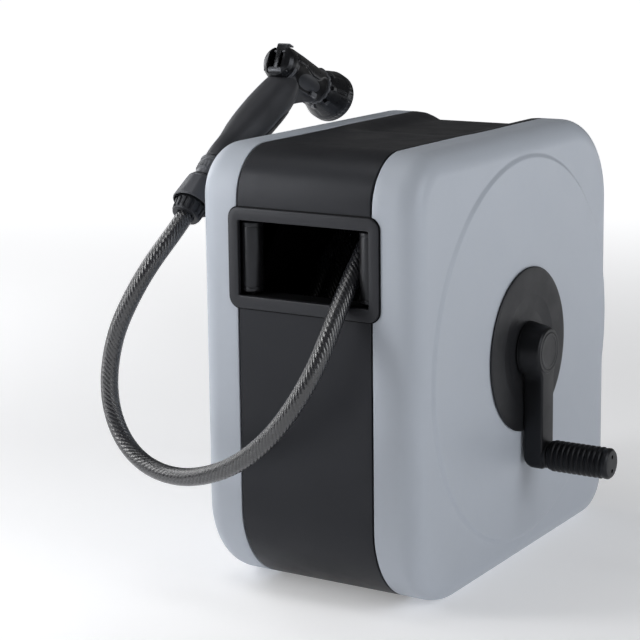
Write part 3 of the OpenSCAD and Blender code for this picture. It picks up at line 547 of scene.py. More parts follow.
def shell(side):
    """One side shell: a fan of rays from the crank axis, each with the outer skin, the seam edge and the inner skin."""
    ss = np.linspace(0, PERIM, 384, endpoint=False)
    pts = np.array([round_at(s) for s in ss])
    dy, dz = pts[:, 0] - 7, pts[:, 1] - 217
    full = np.hypot(dy, dz)
    uy, uz = dy / full, dz / full
    edge = 72.8 + jog(pts[:, 0], pts[:, 1])
    def rho_at(d):
        lo, hi = np.full(len(ss), 60.0), full.copy()
        for _ in range(40):
            mid = (lo + hi) / 2
            deep = depth_in(7 + uy * mid, 217 + uz * mid) > d
            lo, hi = np.where(deep, mid, lo), np.where(deep, hi, mid)
        return (lo + hi) / 2
    def x_out(rho):
        d = np.maximum(depth_in(7 + uy * rho, 217 + uz * rho), 0)
        base = np.where(d >= 22, 118.0, 96 + np.sqrt(np.maximum(484 - (22 - d) ** 2, 0)))
        return base + (120.5 - base) * sstep((192.6 - rho) / 5.0)
    def ring(x, rho):
        return np.stack([side * (x if isinstance(x, np.ndarray) else np.full(len(ss), x)), 7 + uy * rho, 217 + uz * rho], 1)
    hole = 19.0 if side > 0 else 17.0
    rows = [np.full(len(ss), r) for r in (hole, 30, 60, 84, 110, 140, 165, 180, 185, 187, 187.8, 188.5, 189.2, 189.9, 190.6, 191.3, 192, 192.7, 193.5, 195)]
    rows += [rho_at(22 - 22 * cos(math.radians(b))) for b in (90, 84, 76, 68, 60, 52, 44, 36, 28, 20, 12, 5)]
    rows = np.sort(np.array(rows), axis=0)
    rings = [ring(x_out(r), r) for r in rows]
    rings += [ring(x, full) for x in (96.0, 91.0, 86.0, 81.0)]
    rings.append(ring(edge + 0.8, full))
    for a in (30, 60, 90):
        rings.append(ring(edge + 0.8 - 0.8 * sin(math.radians(a)), rho_at(0.8 - 0.8 * cos(math.radians(a)))))
    rings.append(ring(edge, rho_at(2.4)))
    inner = rho_at(3.0)
    rings += [ring(edge + 0.5, inner), ring(88.0, inner), ring(96.0, inner)]
    rings += [ring(96 + 19 * sin(math.radians(b)), rho_at(22 - 19 * cos(math.radians(b)))) for b in (15, 35, 55, 75, 90)]
    rings += [ring(115.0, np.minimum(rho_at(22), 185.0)), ring(115.6, np.full(len(ss), 183.0)), ring(117.6, np.full(len(ss), 181.0)),
              ring(117.6, np.full(len(ss), 100.0)), ring(117.6, np.full(len(ss), hole))]
    name = "right_shell" if side > 0 else "left_shell"
    inner_from = len(rings) - 12
    # painted shade: the inner skin of the shell takes the near-black inner material
    fm = [1 if inner_from <= q < len(rings) - 1 else 0 for q in range(len(rings)) for _ in ss]
    ob = loft(name, rings, [M_SHELL, M_INNER_SHADE], 40, wrap=True, face_mat=fm)
    cuts = [lathe("cut", [(0, -2), (9.1, -2), (9.1, 1.5), (0, 1.5)], vertical(side * 86, y), M_SHELL, 48) for y in (-105, 150)]
    if side < 0:
        for y, z in SCREWS:
            fr = Frame((0, y, z), (0, 1, 0), (0, 0, 1), (1, 0, 0))
            cuts.append(lathe("cut", [(0, -125), (5.9, -125), (5.0, -117.2), (5, -112), (0, -112)], fr, M_SHELL, 48))
    boolean(ob, cuts, angle=40)
    return ob

SCREWS = ((-160, 52), (-160, 378), (165, 378), (180, 40))
for side, nm in ((1, "right_shell"), (-1, "left_shell")):
    ob = shell(side)
    place(ob, "case", nm)
for i, (y, z) in enumerate(SCREWS):
    fr = Frame((0, y, z), (0, 1, 0), (0, 0, 1), (1, 0, 0))
    ob = lathe(f"screw_boss_{i}", [(5.0, -116.5), (7.5, -116.5), (6.8, -60), (2.2, -60), (2.2, -108.9), (5.0, -108.9)], fr, M_SHELL, 48, closed=True)
    place(ob, "case")

# ---------------------------------------------------------------------
# band
# ---------------------------------------------------------------------
def band(name, s0, s1, step=4.0):
    n = max(2, int((s1 - s0) / step))
    rings = []
    for s in np.linspace(s0, s1, n + 1):
        y, z, ny, nz = round_at(s)
        w = 71.2 + float(jog(y, z))
        xs = [w - 0.8, w - 1.2, 66, 61, 56, 51, 46, 38, 24, 0]
        top = [(-w, 3.4), (-w, 0.8), (-w + 0.11, 0.4), (-w + 0.4, 0.11)]
        top += [(-x, float(scoop(x, s))) for x in xs] + [(x, float(scoop(x, s))) for x in xs[-2::-1]]
        top += [(w - 0.4, 0.11), (w - 0.11, 0.4), (w, 0.8), (w, 3.4), (w + 5.4, 3.4), (w + 5.4, 5.6), (w, 5.6)]
        for x in (60, 40, 0, -40, -60):
            top.append((x, max(5.6, float(scoop(x, s)) + 3)))
        top += [(-w, 5.6), (-w - 5.4, 5.6), (-w - 5.4, 3.4)]
        rings.append([(x, y - ny * d, z - nz * d) for x, d in top])
    return loft(name, rings, M_BAND, 38)

S_LOW, S_HIGH = sum(SEG_LEN[:2]) + 289.3 - 86, sum(SEG_LEN[:2]) + 366 - 86
S_SPLIT = S_TOP + 90 * math.asin(42.5 / 90)
low = band("front_band_low", 0.0, S_LOW)
high = band("front_band_high", S_HIGH, S_SPLIT, 3.0)
place(join([low, high], "front_band"), "case", "front_band")
place(band("rear_band", S_SPLIT + 0.35, PERIM - 0.3), "case", "rear_band")

# ---------------------------------------------------------------------
# window frame, tunnel and rollers
# ---------------------------------------------------------------------
WZ = 327.5
def rrect(hw, hh, r, y, k=8):
    out = []
    for cx, cz, a0 in ((hw - r, hh - r, 0), (-hw + r, hh - r, 90), (-hw + r, -hh + r, 180), (hw - r, -hh + r, 270)):
        for q in range(k + 1):
            a = math.radians(a0 + 90 * q / k)
            out.append((cx + r * cos(a), y, WZ + cz + r * sin(a)))
    return out
rings = [rrect(79.9, 46.9, 10.4, -208.5), rrect(79.9, 46.9, 10.4, -212.55), rrect(80.4, 47.4, 10.9, -212.9), rrect(80.4, 47.4, 10.9, -214.3)]
rings += [rrect(80.4 - 0.7 * (1 - cos(a)), 47.4 - 0.7 * (1 - cos(a)), 10.9 - 0.7 * (1 - cos(a)), -214.3 - 0.7 * sin(a)) for a in (pi / 6, pi / 3, pi / 2)]
rings += [rrect(75.5, 42.0, 6.5, -215.0), rrect(71.0, 36.5, 2.6, -215.0)]
rings += [rrect(71.0 - sin(a), 36.5 - sin(a), 2.6 - sin(a), -215.0 + 1 - cos(a)) for a in (pi / 6, pi / 3, pi / 2)]
rings += [rrect(70.0, 35.5, 1.6, -212.2), rrect(70.0, 35.5, 1.6, -210.7), rrect(73.1, 37.3, 1.0, -210.7), rrect(73.1, 37.3, 1.0, -208.5)]
frame_ob = loft("window_frame", rings, M_FRAME, 35, wrap=True)
# painted shadow: a thin black ring round the frame stands in for the shadow gap between the frame and the shell
lip = loft("frame_lip", [rrect(81.7, 48.7, 12.2, -212.55), rrect(81.7, 48.7, 12.2, -212.95), rrect(80.0, 47.0, 10.5, -213.1), rrect(80.0, 47.0, 10.5, -212.55)], M_INNER_SHADE, 35, wrap=True)
place(join([frame_ob, lip], "window_frame"), "case", "window_frame")
# painted shade: the tunnel walls are near-black for the shade inside the window
rings = [rrect(75.4, 35.5, 1, -210.6), rrect(75.4, 35.5, 1, -186), rrect(76.4, 37.6, 1, -186), rrect(76.4, 37.6, 1, -210.6)]
place(loft("window_tunnel", rings, M_INNER_SHADE, 35, wrap=True), "case")

for s, nm in ((-1, "left_roller"), (1, "right_roller")):
    prof = soft([(2.55, -34.5), (6.2, -34.5, 0.3), (6.2, -33.4, 0.2), (9.6, -33.4, 0.8), (10.45, -32.2, 0.8), (10.45, -29.4, 0.2), (10.2, -29.0, 0.2), (10.2, -28.2, 0.2), (10.45, -27.8, 0.2),
                 (10.45, 27.8, 0.2), (10.2, 28.2, 0.2), (10.2, 29.0, 0.2), (10.45, 29.4, 0.2), (10.45, 32.2, 0.8), (9.6, 33.4, 0.8), (6.2, 33.4, 0.2), (6.2, 34.5, 0.3), (2.55, 34.5)], 3)
    ob = lathe(nm, prof, vertical(s * 64, -199, WZ), M_ROLLER, 64, closed=True)
    place(ob, nm, "roller_left" if s < 0 else "roller_right")

# =====================================================================
# wound hose on the drum
# =====================================================================
def wound():
    """Three full layers and a fourth on the left part, each a helix, with a short climb between layers."""
    per, pitch, th = 60, 17.3, 2.2
    pts, x, r = [], -70.3, 69.0
    for layer, (x_end, rad) in enumerate(((70.3, 69.0), (-70.3, 86.2), (70.3, 103.4))):
        if layer:
            for k in range(1, 24):
                th += tau / per
                pts.append((x, r + (rad - r) * float(sstep(k / 24)), th))
        r = rad
        for xx in np.linspace(x, x_end, int(abs(x_end - x) / pitch * per)):
            th += tau / per
            pts.append((xx, r, th))
        x = x_end
    outer, th = [], -0.9
    for xx in np.linspace(22.0, -70.3, int(92.3 / pitch * per)):
        th += tau / per
        outer.append((xx, 120.5, th))
    res = []
    for p in (pts, outer):
        p = np.array(p)
        res.append(np.stack([p[:, 0], 7 + p[:, 1] * np.cos(p[:, 2]), 217 + p[:, 1] * np.sin(p[:, 2])], 1))
    return res
parts = []
for i, ln in enumerate(wound()):
    dd = np.r_[0, np.cumsum(np.linalg.norm(np.diff(ln, axis=0), axis=1))]
    parts.append(tube(f"wound_{i}", ln, dd, HOSE_R - 0.15, M_WOUND_SHADE_COPY, 12, (1, 0, 0)))
place(join(parts, "wound_hose"), "drum", "hose_pack")

# =====================================================================
# hub disc, crank and grip
# =====================================================================
ob = lathe("hub_disc", soft([(14.1, 120.8), (80.7, 120.8, 0.3), (81.45, 121.6, 0.3), (81.45, 122.2, 0.3), (80.6, 122.8, 0.5), (78, 123.0, 1.5), (54, 123.0, 5),
                             (38.5, 121.25, 5), (30, 121.2, 1), (14.1, 121.2)], 6), DRUM, M_HUB, 160, closed=True)
place(ob, "drum", "hub_disc")

def arm_radius(ang, R, cut, zb, bar):
    """Polar outline of the boss with the arm below it, shrunk by cut."""
    lo, hi = np.full(len(ang), 4.0), np.full(len(ang), 140.0)
    cy, cz = np.cos(ang), np.sin(ang)
    for _ in range(44):
        m = (lo + hi) / 2
        y, z = cy * m, cz * m
        d = np.hypot(y, z) - R
        if bar:
            c = 6.0
            qy, qz = np.abs(y) - 13.0 + c, np.abs(z - (-10 + zb) / 2) - (-10 - zb) / 2 + c
            e = np.hypot(np.maximum(qy, 0), np.maximum(qz, 0)) + np.minimum(np.maximum(qy, qz), 0) - c
            k = 7.0
            h = np.clip(0.5 + 0.5 * (d - e) / k, 0, 1)
            d = d * (1 - h) + e * h - k * h * (1 - h)
        inn = d < -cut
        lo, hi = np.where(inn, m, lo), np.where(inn, hi, m)
    return (lo + hi) / 2

ang = np.linspace(0, tau, 4000, endpoint=False)
rr = arm_radius(ang, 24.5, 0, -120.0, True)
px, pz = rr * np.cos(ang), rr * np.sin(ang)
cum = np.r_[0, np.cumsum(np.hypot(np.diff(px), np.diff(pz)))]
ang = np.interp(np.arange(0, cum[-1], 1.6), cum, ang)
levels = [(122.05, 27.3, 0.6, 0, False), (122.6, 27.7, 0, 0, False), (123.5, 27.6, 0, 0, False)]
for a in (0, 25, 50, 75, 90):
    q = math.radians(a)
    cut = 1.2 - 1.2 * sin(q)
    levels.append((123.55 + 1.2 * (1 - cos(q)), 27.5 - 0.1 * sin(q) + cut, cut, None, True))
levels += [(127.0, 26.9, 0, None, True), (130.0, 26.3, 0, None, True), (133.0, 25.7, 0, None, True), (136.0, 25.1, 0, None, True), (139.0, 24.5, 0, None, True), (141.6, 23.9, 0, None, True)]
for a in (15, 30, 45, 60, 75, 90):
    q = math.radians(a)
    levels.append((141.6 + 2.2 * sin(q), 23.8, 2.2 - 2.2 * cos(q), None, True))
rings = []
for x, R, cut, zb, bar in levels:
    back = x - 123.5
    zb = -117.6 + (9 - math.sqrt(max(0, 81 - (9 - back) ** 2)) if back < 9 else 0)
    r = arm_radius(ang, R, cut, zb, bar)
    rings.append(DRUM.at(r * np.cos(ang), r * np.sin(ang), np.full(len(ang), x)))
# front face: a copy of the last ring pulled towards the middle line of the arm is worked out but not used; the loft
# closes the front with a flat cap
last = rings[-1].copy()
mid = last.copy()
mid[:, 1] = 7 + (last[:, 1] - 7) * 0.25
mid[:, 2] = np.where(last[:, 2] < 200, 103 + (last[:, 2] - 103) * 1.0, 217 + (last[:, 2] - 217) * 0.3)
arm = loft("crank_arm", rings, M_CRANK, 32)
boss = lathe("boss_top", soft([(22.9, 140.0), (22.9, 142.2, 0.3), (22.9, 143.2, 0.6), (21.6, 144.6, 0.9), (18.4, 144.6, 0.35), (18.4, 143.0, 0.2), (8.6, 143.0, 0.2), (8.6, 137.2, 0.3), (3.3, 137.2), (3.3, 132), (14, 132)], 4), DRUM, M_CRANK, 96, closed=True)
collar = lathe("collar", soft([(9, 141.0), (13.3, 141.0), (13.3, 145.2, 0.5), (12.7, 146.9, 0.6), (9, 146.9)], 3), GRIP, M_CRANK, 64, closed=True)
place(join([arm, boss, collar], "crank_arm"), "drum", "crank_arm")
ob = lathe("hub_cap", soft([(0, 143.1), (18.3, 143.1, 0.1), (18.3, 144.5, 0.25), (17.6, 144.8, 0.5), (15.4, 144.8, 0.4), (14.6, 144.6, 0.4), (9, 144.55), (0, 144.55)], 3), DRUM, M_CAP, 96)
place(ob, "drum", "hub_cap")

prof = [(5.1, 147.7), (13.6, 147.7, 0.5), (14.4, 148.6, 0.5), (14.4, 150.4, 0.3)]
for i in range(10):
    x0 = 150.8 + i * 5.45
    prof += [(14.1, x0, 0.35), (15.45, x0 + 0.9, 0.8), (15.45, x0 + 3.3, 0.8), (14.1, x0 + 4.3, 0.35)]
prof += [(14.6, 206.0, 0.2), (8.1, 206.0), (8.1, 200.6), (5.1, 200.6)]
ob = lathe("crank_grip", soft(prof, 3), GRIP, M_GRIP, 96, closed=True)
place(ob, "grip", "crank_grip")
cap = lathe("grip_end_cap", soft([(0, 204.4), (7.9, 204.4), (7.9, 206.2), (14.8, 206.2, 0.2), (15.2, 207.0, 0.4), (15.2, 210.0, 1.2), (13.2, 212.2, 1.4), (9, 212.45, 2), (0, 212.45)], 4), GRIP, M_CAP, 96)
tools = [lathe("cut", [(0, 209.5), (2.1, 209.5), (2.1, 214), (0, 214)], Frame((0, 7, 112.5 + s * 7), (0, 1, 0), (0, 0, 1), (1, 0, 0)), M_CAP, 24) for s in (-1, 1)]
boolean(cap, tools)
place(cap, "grip", "grip_end_cap")

# =====================================================================
# water inlet on the left side
# =====================================================================
elbow = lathe("inlet_elbow", soft([(0, -154.9), (13.2, -154.9, 1.6), (17.4, -151.6, 1.2), (17.4, -146.4, 0.3), (16.8, -146.0, 0.2), (16.8, -144.6, 0.2), (17.4, -144.2, 0.3),
                                   (17.4, -124.2, 0.6), (16.2, -121.8, 0.8), (12.1, -121.8), (12.1, -147), (0, -147)], 4), DRUM, M_CONN, 96)
leg = lathe("leg", soft([(6.1, 183.05), (12.8, 183.05, 0.5), (13.4, 184.2, 0.4), (13.4, 188.0, 0.5), (11.5, 189.6, 1.0), (11.5, 204, 0.5), (11.5, 213), (6.1, 213)], 4),
            vertical(-138, 7), M_CONN, 144, closed=True, mod=lambda r, h, p: np.where((r > 13) & (h > 183.6) & (h < 188.4), r - 0.5 * (np.cos(18 * p) > 0.55), r))
ribs = [slab("rib", DRUM, 16.5, 17.9 - 0.5, -1.2, 1.2, -143.5, -125, M_CONN, 0.4) for _ in (0,)]
place(join([elbow, leg] + ribs, "inlet_elbow"), "inlet", "inlet_elbow")

def hexed(r, h, p):
    q = (p + pi / 6) % (pi / 3) - pi / 6
    return np.where((h > 171.9) & (r > 9), np.minimum(12.4 * cos(pi / 6) / np.cos(q) , 12.1) * (r / 12.4), r)
prof = soft([(5.1, 139.05), (7.0, 139.05, 0.4), (7.95, 140.4, 0.5), (7.95, 146.2, 0.15), (6.9, 146.4, 0.15), (6.9, 148.8, 0.15), (7.95, 149.0, 0.15), (7.95, 155.6, 0.5), (6.6, 156.3, 0.4), (6.6, 160.2, 0.4),
             (8.0, 160.6, 0.2), (9.4, 162.2, 0.4), (9.4, 163.4, 0.4), (8.0, 165.4, 0.4), (8.0, 171.8, 0.3), (8.6, 171.95), (12.4, 172.2), (12.4, 182.4), (11.6, 182.9), (5.1, 182.9)], 3)
ob = lathe("inlet_nipple", prof, vertical(-138, 7), M_CONN, 144, closed=True, mod=hexed)
ring = lathe("nose_ring", [(6.9 + 0.95 + 0.95 * cos(a) * 0.95, 147.6 + 1.0 * sin(a)) for a in np.linspace(0, tau, 16, endpoint=False)], vertical(-138, 7), M_RUBBER, 72, closed=True)
place(ob, "inlet", "inlet_nipple")
place(ring, "inlet")

# =====================================================================
# nozzle holder
# =====================================================================
def prism(name, pts, y0, y1, mats, bevel):
    n = len(pts)
    v = [(x, y0, z) for x, z in pts] + [(x, y1, z) for x, z in pts]
    f = [tuple(range(n)), tuple(range(n, 2 * n))] + [(i, (i + 1) % n, n + (i + 1) % n, n + i) for i in range(n)]
    ob = make(name, v, f, mats)
    md = ob.modifiers.new("v", "BEVEL")
    md.width, md.segments, md.limit_method, md.angle_limit = bevel * 0.001, 3, "ANGLE", math.radians(12)
    bake_mods(ob)
    shade(ob.data)
    return ob
S19, C19 = sin(math.radians(19)), cos(math.radians(19))
HOLD = Frame((-150, -90, 419.3), (1, 0, 0), (0, C19, S19), (0, -S19, C19))
web = prism("holder", [(-120.8, 322.5), (-120.8, 365.5), (-124.3, 371.6), (-130.6, 393.8), (-130.6, 407.8), (-167.6, 407.8), (-167.6, 398.3), (-132.3, 344.3), (-127.2, 322.5)], -103.7, -72.3, M_BAND, 1.5)
rib = prism("holder_rib", [(-131.5, 346), (-131.5, 392), (-160, 397), (-134, 352)], -90.5, -85.5, M_BAND, 0.4)
plate = slab("holder_plate", Frame((0, 0, 0), (1, 0, 0), (0, 1, 0), (0, 0, 1)), -124.5, -120.6, -103.8, -52.2, 300.2, 366, M_BAND, 1.3)
saddle = slab("saddle", HOLD, -23.3, 23.3, -19.8, 19.8, -24.8, -8.4, M_BAND, 2.2)
cut = lathe("cut", [(0, -40), (18.72, -40), (22.26, 40), (0, 40)], Frame(HOLD.o, HOLD.a, HOLD.h, HOLD.b), M_BAND, 96)
boolean(saddle, cut)
cuts = [lathe("cut", [(0, -135), (4.5, -135), (4.5, -123.3), (2.2, -123.3), (2.2, -110), (0, -110)], Frame((0, -62, z), (0, 1, 0), (0, 0, 1), (1, 0, 0)), M_BAND, 40) for z in (312, 350)]
boolean(plate, cuts)
place(join([web, rib, plate, saddle], "nozzle_holder"), "case", "nozzle_holder")

# =====================================================================
# nozzle
# =====================================================================
HANDLE = [(-134.4, 402.7, 10.0, 10.6), (-127.5, 407.2, 10.6, 11.3), (-118, 410.8, 11.6, 12.7), (-104, 414.6, 13.4, 14.9), (-86, 420.6, 16.7, 18.3), (-66, 430, 19.2, 20.1),
          (-44, 441.6, 19.9, 20.5), (-28, 451.5, 19.4, 20.1), (-14, 461.5, 17.9, 18.5), (-6, 470, 15.5, 15.2)]
def wide_spline(p, n):
    p = np.array(p, float)
    q = np.vstack([2 * p[0] - p[1], p, 2 * p[-1] - p[-2]])
    out = []
    for i in range(len(p) - 1):
        a, b, c, d = q[i:i + 4]
        for k in range(10):
            t = k / 10
            out.append(0.5 * (2 * b + (c - a) * t + (2 * a - 5 * b + 4 * c - d) * t * t + (3 * b - a - 3 * c + d) * t ** 3))
    out.append(p[-1])
    out = np.array(out)
    for _ in range(14):
        out[1:-1] = 0.25 * out[:-2] + 0.5 * out[1:-1] + 0.25 * out[2:]
    s = np.r_[0, np.cumsum(np.hypot(*np.diff(out[:, :2], axis=0).T))]
    g = np.linspace(0, s[-1], n)
    return np.stack([np.interp(g, s, out[:, k]) for k in range(out.shape[1])], 1)
HP = wide_spline(HANDLE, 72)
HT = np.gradient(HP[:, :2], axis=0)
HT /= np.linalg.norm(HT, axis=1)[:, None]
def handle_ring(i, ph, grow=0.0, ridge=0.055):
    """Points round station i of the handle; angle 0 is the crank side, 90 degrees the underside."""
    y, z, rx, ry = HP[i]
    ty, tz = HT[i]
    c, s = np.cos(ph), np.sin(ph)
    bump = np.exp(-((np.abs(np.arctan2(s, np.abs(c))) - 0.02) / 0.30) ** 2)
    rx2, ry2 = rx + grow, ry + grow
    e = (np.abs(c) ** 2.25 + np.abs(s) ** 2.25) ** (-1 / 2.25)
    k = e * (1 + ridge * bump)
    a, b = rx2 * k * c, ry2 * k * s
    lean = 3.0 * sstep((y + 132) / 52) * sstep((-4 - y) / 44)
    return np.stack([-150 - lean + a, y + b * tz, z - b * ty], -1)
def remesh(ob, size, rounds, factor=0.5, angle=60):
    md = ob.modifiers.new("r", "REMESH")
    md.mode, md.voxel_size, md.adaptivity = "VOXEL", size * 0.001, 0.0
    sm = ob.modifiers.new("s", "SMOOTH")
    sm.factor, sm.iterations = factor, rounds
    bake_mods(ob)
    shade(ob.data, angle)
    return ob

ph = np.arange(56) * tau / 56
sweep = loft("nozzle_body", [handle_ring(i, ph, 0.15) for i in range(len(HP))], [M_HANDLE, M_SOFT], 60,
             face_mat=[int(HP[j, 0] > -16) for j in range(len(HP) - 1) for _ in ph] + [0, 1])
core = lathe("core", [(0, -41.7), (18.5, -41.7), (18.5, -20), (17.3, 20), (17.3, 21.4), (0, 21.4)], BAR, M_SOFT, 96)
WEB = [(20.6, -10), (20.6, -18.8), (14, -21.5), (6, -24), (-2, -27), (-9, -30), (-16, -33.3), (-22, -37), (-27, -43), (-34, -48), (-40, -40), (-38, -10)]
n = len(WEB)
v = [BAR.at(s, u, t) for s in (-6.8, 6.8) for t, u in WEB]
f = [tuple(range(n)), tuple(range(n, 2 * n))] + [(i, (i + 1) % n, n + (i + 1) % n, n + i) for i in range(n)]
fin = make("fin", v, f, M_HANDLE)
body = join([sweep, core, fin], "nozzle_body")
remesh(body, 0.9, 14)
place(body, "nozzle", ("nozzle_handle", "nozzle_barrel"))

# soft insert on the underside of the handle, a thin raised skin with rounded borders
def insert(name, i0, i1, a0, a1, lift, mats, rows=44, cols=48, flip=False):
    verts, faces = [], []
    ii = np.linspace(i0, i1, rows)
    for q, i in enumerate(ii):
        u = q / (rows - 1)
        taper = math.sqrt(max(0.0, 1 - (abs(2 * u - 1)) ** 6))
        half, midc = (a1 - a0) / 2 * max(taper, 0.02), (a0 + a1) / 2
        an = np.radians(midc + np.linspace(-half, half, cols))
        j = int(i)
        w = i - j
        r0, r1 = handle_ring(min(j, len(HP) - 1), an, 0), handle_ring(min(j + 1, len(HP) - 1), an, 0)
        base = r0 * (1 - w) + r1 * w
        cen = np.array([-150 - 3.0 * sstep((HP[j, 0] + 132) / 52) * sstep((-4 - HP[j, 0]) / 44), HP[j, 0] * (1 - w) + HP[min(j + 1, len(HP) - 1), 0] * w, HP[j, 1] * (1 - w) + HP[min(j + 1, len(HP) - 1), 1] * w])
        d = base - cen
        rr = np.linalg.norm(d, axis=1)[:, None]
        e = np.minimum(np.arange(cols), np.arange(cols)[::-1]) / 3.0
        edge = np.minimum(np.sqrt(np.clip(1 - (1 - np.clip(e, 0, 1)) ** 2, 0, 1)), math.sqrt(max(0, 1 - (1 - min(1, min(q, rows - 1 - q) / 2.5)) ** 2)))
        verts.append(cen + d * (1 + (lift * edge[:, None] - 0.5) / rr))
    v = np.array(verts).reshape(-1, 3)
    return make(name, v, grid_faces(rows, cols, False), mats, 60)
place(insert("grip_insert", 10, 60, 14, 166, 1.0, M_SOFT), "nozzle")

# skin of the barrel: an upper shell with a raised border, a recess on each side and a tab below
def skin():
    ts = np.concatenate([np.linspace(-41.6, -40.8, 3), np.linspace(-40, 20.8, 80), np.linspace(21.4, 22.3, 4)])
    ph = np.arange(224) * tau / 224
    rings, fm = [], []
    for t in ts:
        up = np.abs((ph + pi) % tau - pi)        # 0 at the top, pi below
        deg = np.degrees(up)
        border = 74 + 16 * sstep((t + 30) / 22) - 24 * sstep((t - 1) / 17)
        r = np.full(len(ph), 18.5 - 1.15 * min(1.0, max(0.0, (t + 20) / 40)))
        top = sstep((border - deg) / 2.6)
        r += 0.75 * top
        # oval recess
        q = np.hypot((t + 10) / 21.0, (deg - 118) / 26.0)
        r -= 0.9 * sstep((1.0 - q) / 0.10)
        q2 = np.hypot((t + 10) / 15.0, (deg - 118) / 18.5)
        r += 0.5 * sstep((1.0 - q2) / 0.16)
        # lobe at the rear of the upper shell
        q3 = np.hypot((t + 31) / 9.0, (deg - 62) / 26.0)
        r += 0.45 * sstep((1.0 - q3) / 0.25)
        # two grip lines over the top
        for t0 in (-36.5, -34.0):
            r -= 0.35 * np.exp(-((t - t0) / 0.45) ** 2) * (deg < 50)
        if t < ts[-1]: fm += list(((deg > border + 3.5) & (t > -39) & (t < 20.5)).astype(int))
        end = min(1.0, (t + 41.6) / 0.8, (22.3 - t) / 0.9)
        r -= 0.7 * (1 - math.sqrt(max(0.0, 1 - (1 - max(0, end)) ** 2)))
        rings.append(BAR.at(r * np.sin(ph), r * np.cos(ph), np.full(len(ph), t)))
    return loft("barrel_skin", rings, [M_NOZ, M_SOFT], 50, face_mat=fm + [0, 0])
place(skin(), "nozzle")
tab = slab("barrel_tab", BAR, 9.2, 13.4, -17.2, -12.2, 2.2, 12.2, M_TRIM, 0.7)
tab2 = slab("barrel_tab2", BAR, -13.4, -9.2, -17.2, -12.2, 2.2, 12.2, M_TRIM, 0.7)
place(join([tab, tab2], "barrel_tabs"), "nozzle")
neckp = lathe("barrel_nose", soft([(8.6, 21.4), (16.8, 21.4), (16.8, 23.0, 0.4), (14.95, 23.3, 0.1), (14.95, 52.6, 0.6), (8.6, 52.6)], 3), BAR, M_NOZ, 72, closed=True)
place(neckp, "nozzle")

# collar between barrel and rear cap, light grey, on the lower half
ts, rings = np.linspace(-46.6, -41.4, 7), []
ph = np.arange(96) * tau / 96
collar = lathe("rear_collar", soft([(16.0, -46.4), (19.0, -46.4, 0.5), (19.15, -44, 0.5), (19.0, -41.7, 0.5), (16.0, -41.7)], 3), BAR, M_TRIM, 128, closed=True)
cut = slab("cut", BAR, -30, 30, -4.5, 30, -52, -36, M_TRIM, 0)
boolean(collar, cut)
place(collar, "nozzle")

capm = lathe("nozzle_rear_cap", soft([(0, -59.9), (6.2, -59.3, 2), (11.6, -57.4, 3), (15.4, -54.4, 3), (17.9, -50.3, 3), (18.7, -46, 1.5), (18.7, -42.1, 0.4), (15.2, -42.1), (0, -42.1)], 5), BAR, M_NOZ, 128)
cut = slab("cut", BAR, -8.6, 8.6, -13, 40, -90, -45.7, M_NOZ, 0.8)
boolean(capm, cut)
bore = lathe("cut", [(0, -50), (3.1, -50), (3.1, -40), (0, -40)], BAR, M_NOZ, 32)
boolean(capm, bore)
place(capm, "nozzle", "nozzle_rear_cap")

# thumb lever: hub, stem and a two-step pad
hub = lathe("lever_hub", soft([(1.6, -8.1), (3.5, -8.1, 0.4), (3.5, 8.1, 0.4), (1.6, 8.1)], 3), Frame(BAR.at(0.0, -9.0, -52.0), (0, CT, -ST), (0, ST, CT), (1, 0, 0)), M_TRIM, 40, closed=True)
stem = slab("stem", BAR, -2.8, 2.8, -8.5, 12.0, -54.8, -49.3, M_NOZ, 0.8)
def lever_prism(name, pts, w, mats, bevel):
    n = len(pts)
    v = [BAR.at(a, u, t) for a in (-w, w) for t, u in pts]
    f = [tuple(range(n)), tuple(range(n, 2 * n))] + [(i, (i + 1) % n, n + (i + 1) % n, n + i) for i in range(n)]
    ob = make(name, v, f, mats)
    md = ob.modifiers.new("v", "BEVEL")
    md.width, md.segments, md.limit_method, md.angle_limit = bevel * 0.001, 3, "ANGLE", math.radians(12)
    bake_mods(ob)
    shade(ob.data)
    return ob
lip = lever_prism("lip", [(-52.6, 10.2), (-52.8, 12.0), (-51.2, 12.4), (-46.5, 12.6), (-46.3, 10.2)], 6.65, M_TRIM, 0.45)
step = lever_prism("step", [(-51.3, 11.6), (-49.9, 19.4), (-47.6, 19.9), (-46.4, 19.6), (-46.4, 11.6)], 6.4, M_NOZ, 0.5)
pad = lever_prism("pad", [(-50.0, 19.0), (-49.4, 20.2), (-47.5, 21.45), (-39.2, 21.45), (-39.1, 19.75), (-46.3, 19.6)], 6.65, M_TRIM, 0.45)
grooves = [slab("groove", BAR, -5.0, 5.0, 21.0, 26, t, t + 1.0, M_TRIM, 0) for t in (-46.6, -44.4, -42.2)]
boolean(pad, grooves)
place(join([hub, stem, lip, step, pad], "thumb_lever"), "lever", "thumb_lever")

# turning spray head
def notch(r, h, p): return r - 0.9 * sstep((np.cos(16 * p) - 0.35) / 0.3) * (r > 18.2)
ob = lathe("head_ring", soft([(15.05, 24.0), (18.8, 24.0, 0.4), (19.3, 24.7, 0.3), (19.3, 26.4, 0.3), (18.8, 27.1, 0.4), (15.05, 27.1)], 3), BAR, M_TRIM, 192, closed=True, mod=notch)
place(ob, "nozzle", "head_ring")
def flute(r, h, p):
    lug = float(sstep((h - 28.2) / 0.5) * sstep((35.3 - h) / 0.6))
    cone = float(sstep((h - 37.0) / 2.0) * sstep((49.5 - h) / 2.5))
    rim = float(sstep((h - 54.6) / 1.0) * sstep((62.4 - h) / 1.0))
    out = r + lug * np.maximum(0.0, 21.9 - r) * sstep((np.cos(8 * p) - 0.55) / 0.14) * (r > 18)
    out = out - cone * 0.4 * sstep((np.cos(8 * p) - 0.72) / 0.2) * (r > 16)
    return out - rim * 0.45 * sstep((np.cos(36 * p) - 0.3) / 0.4) * (r > 25)
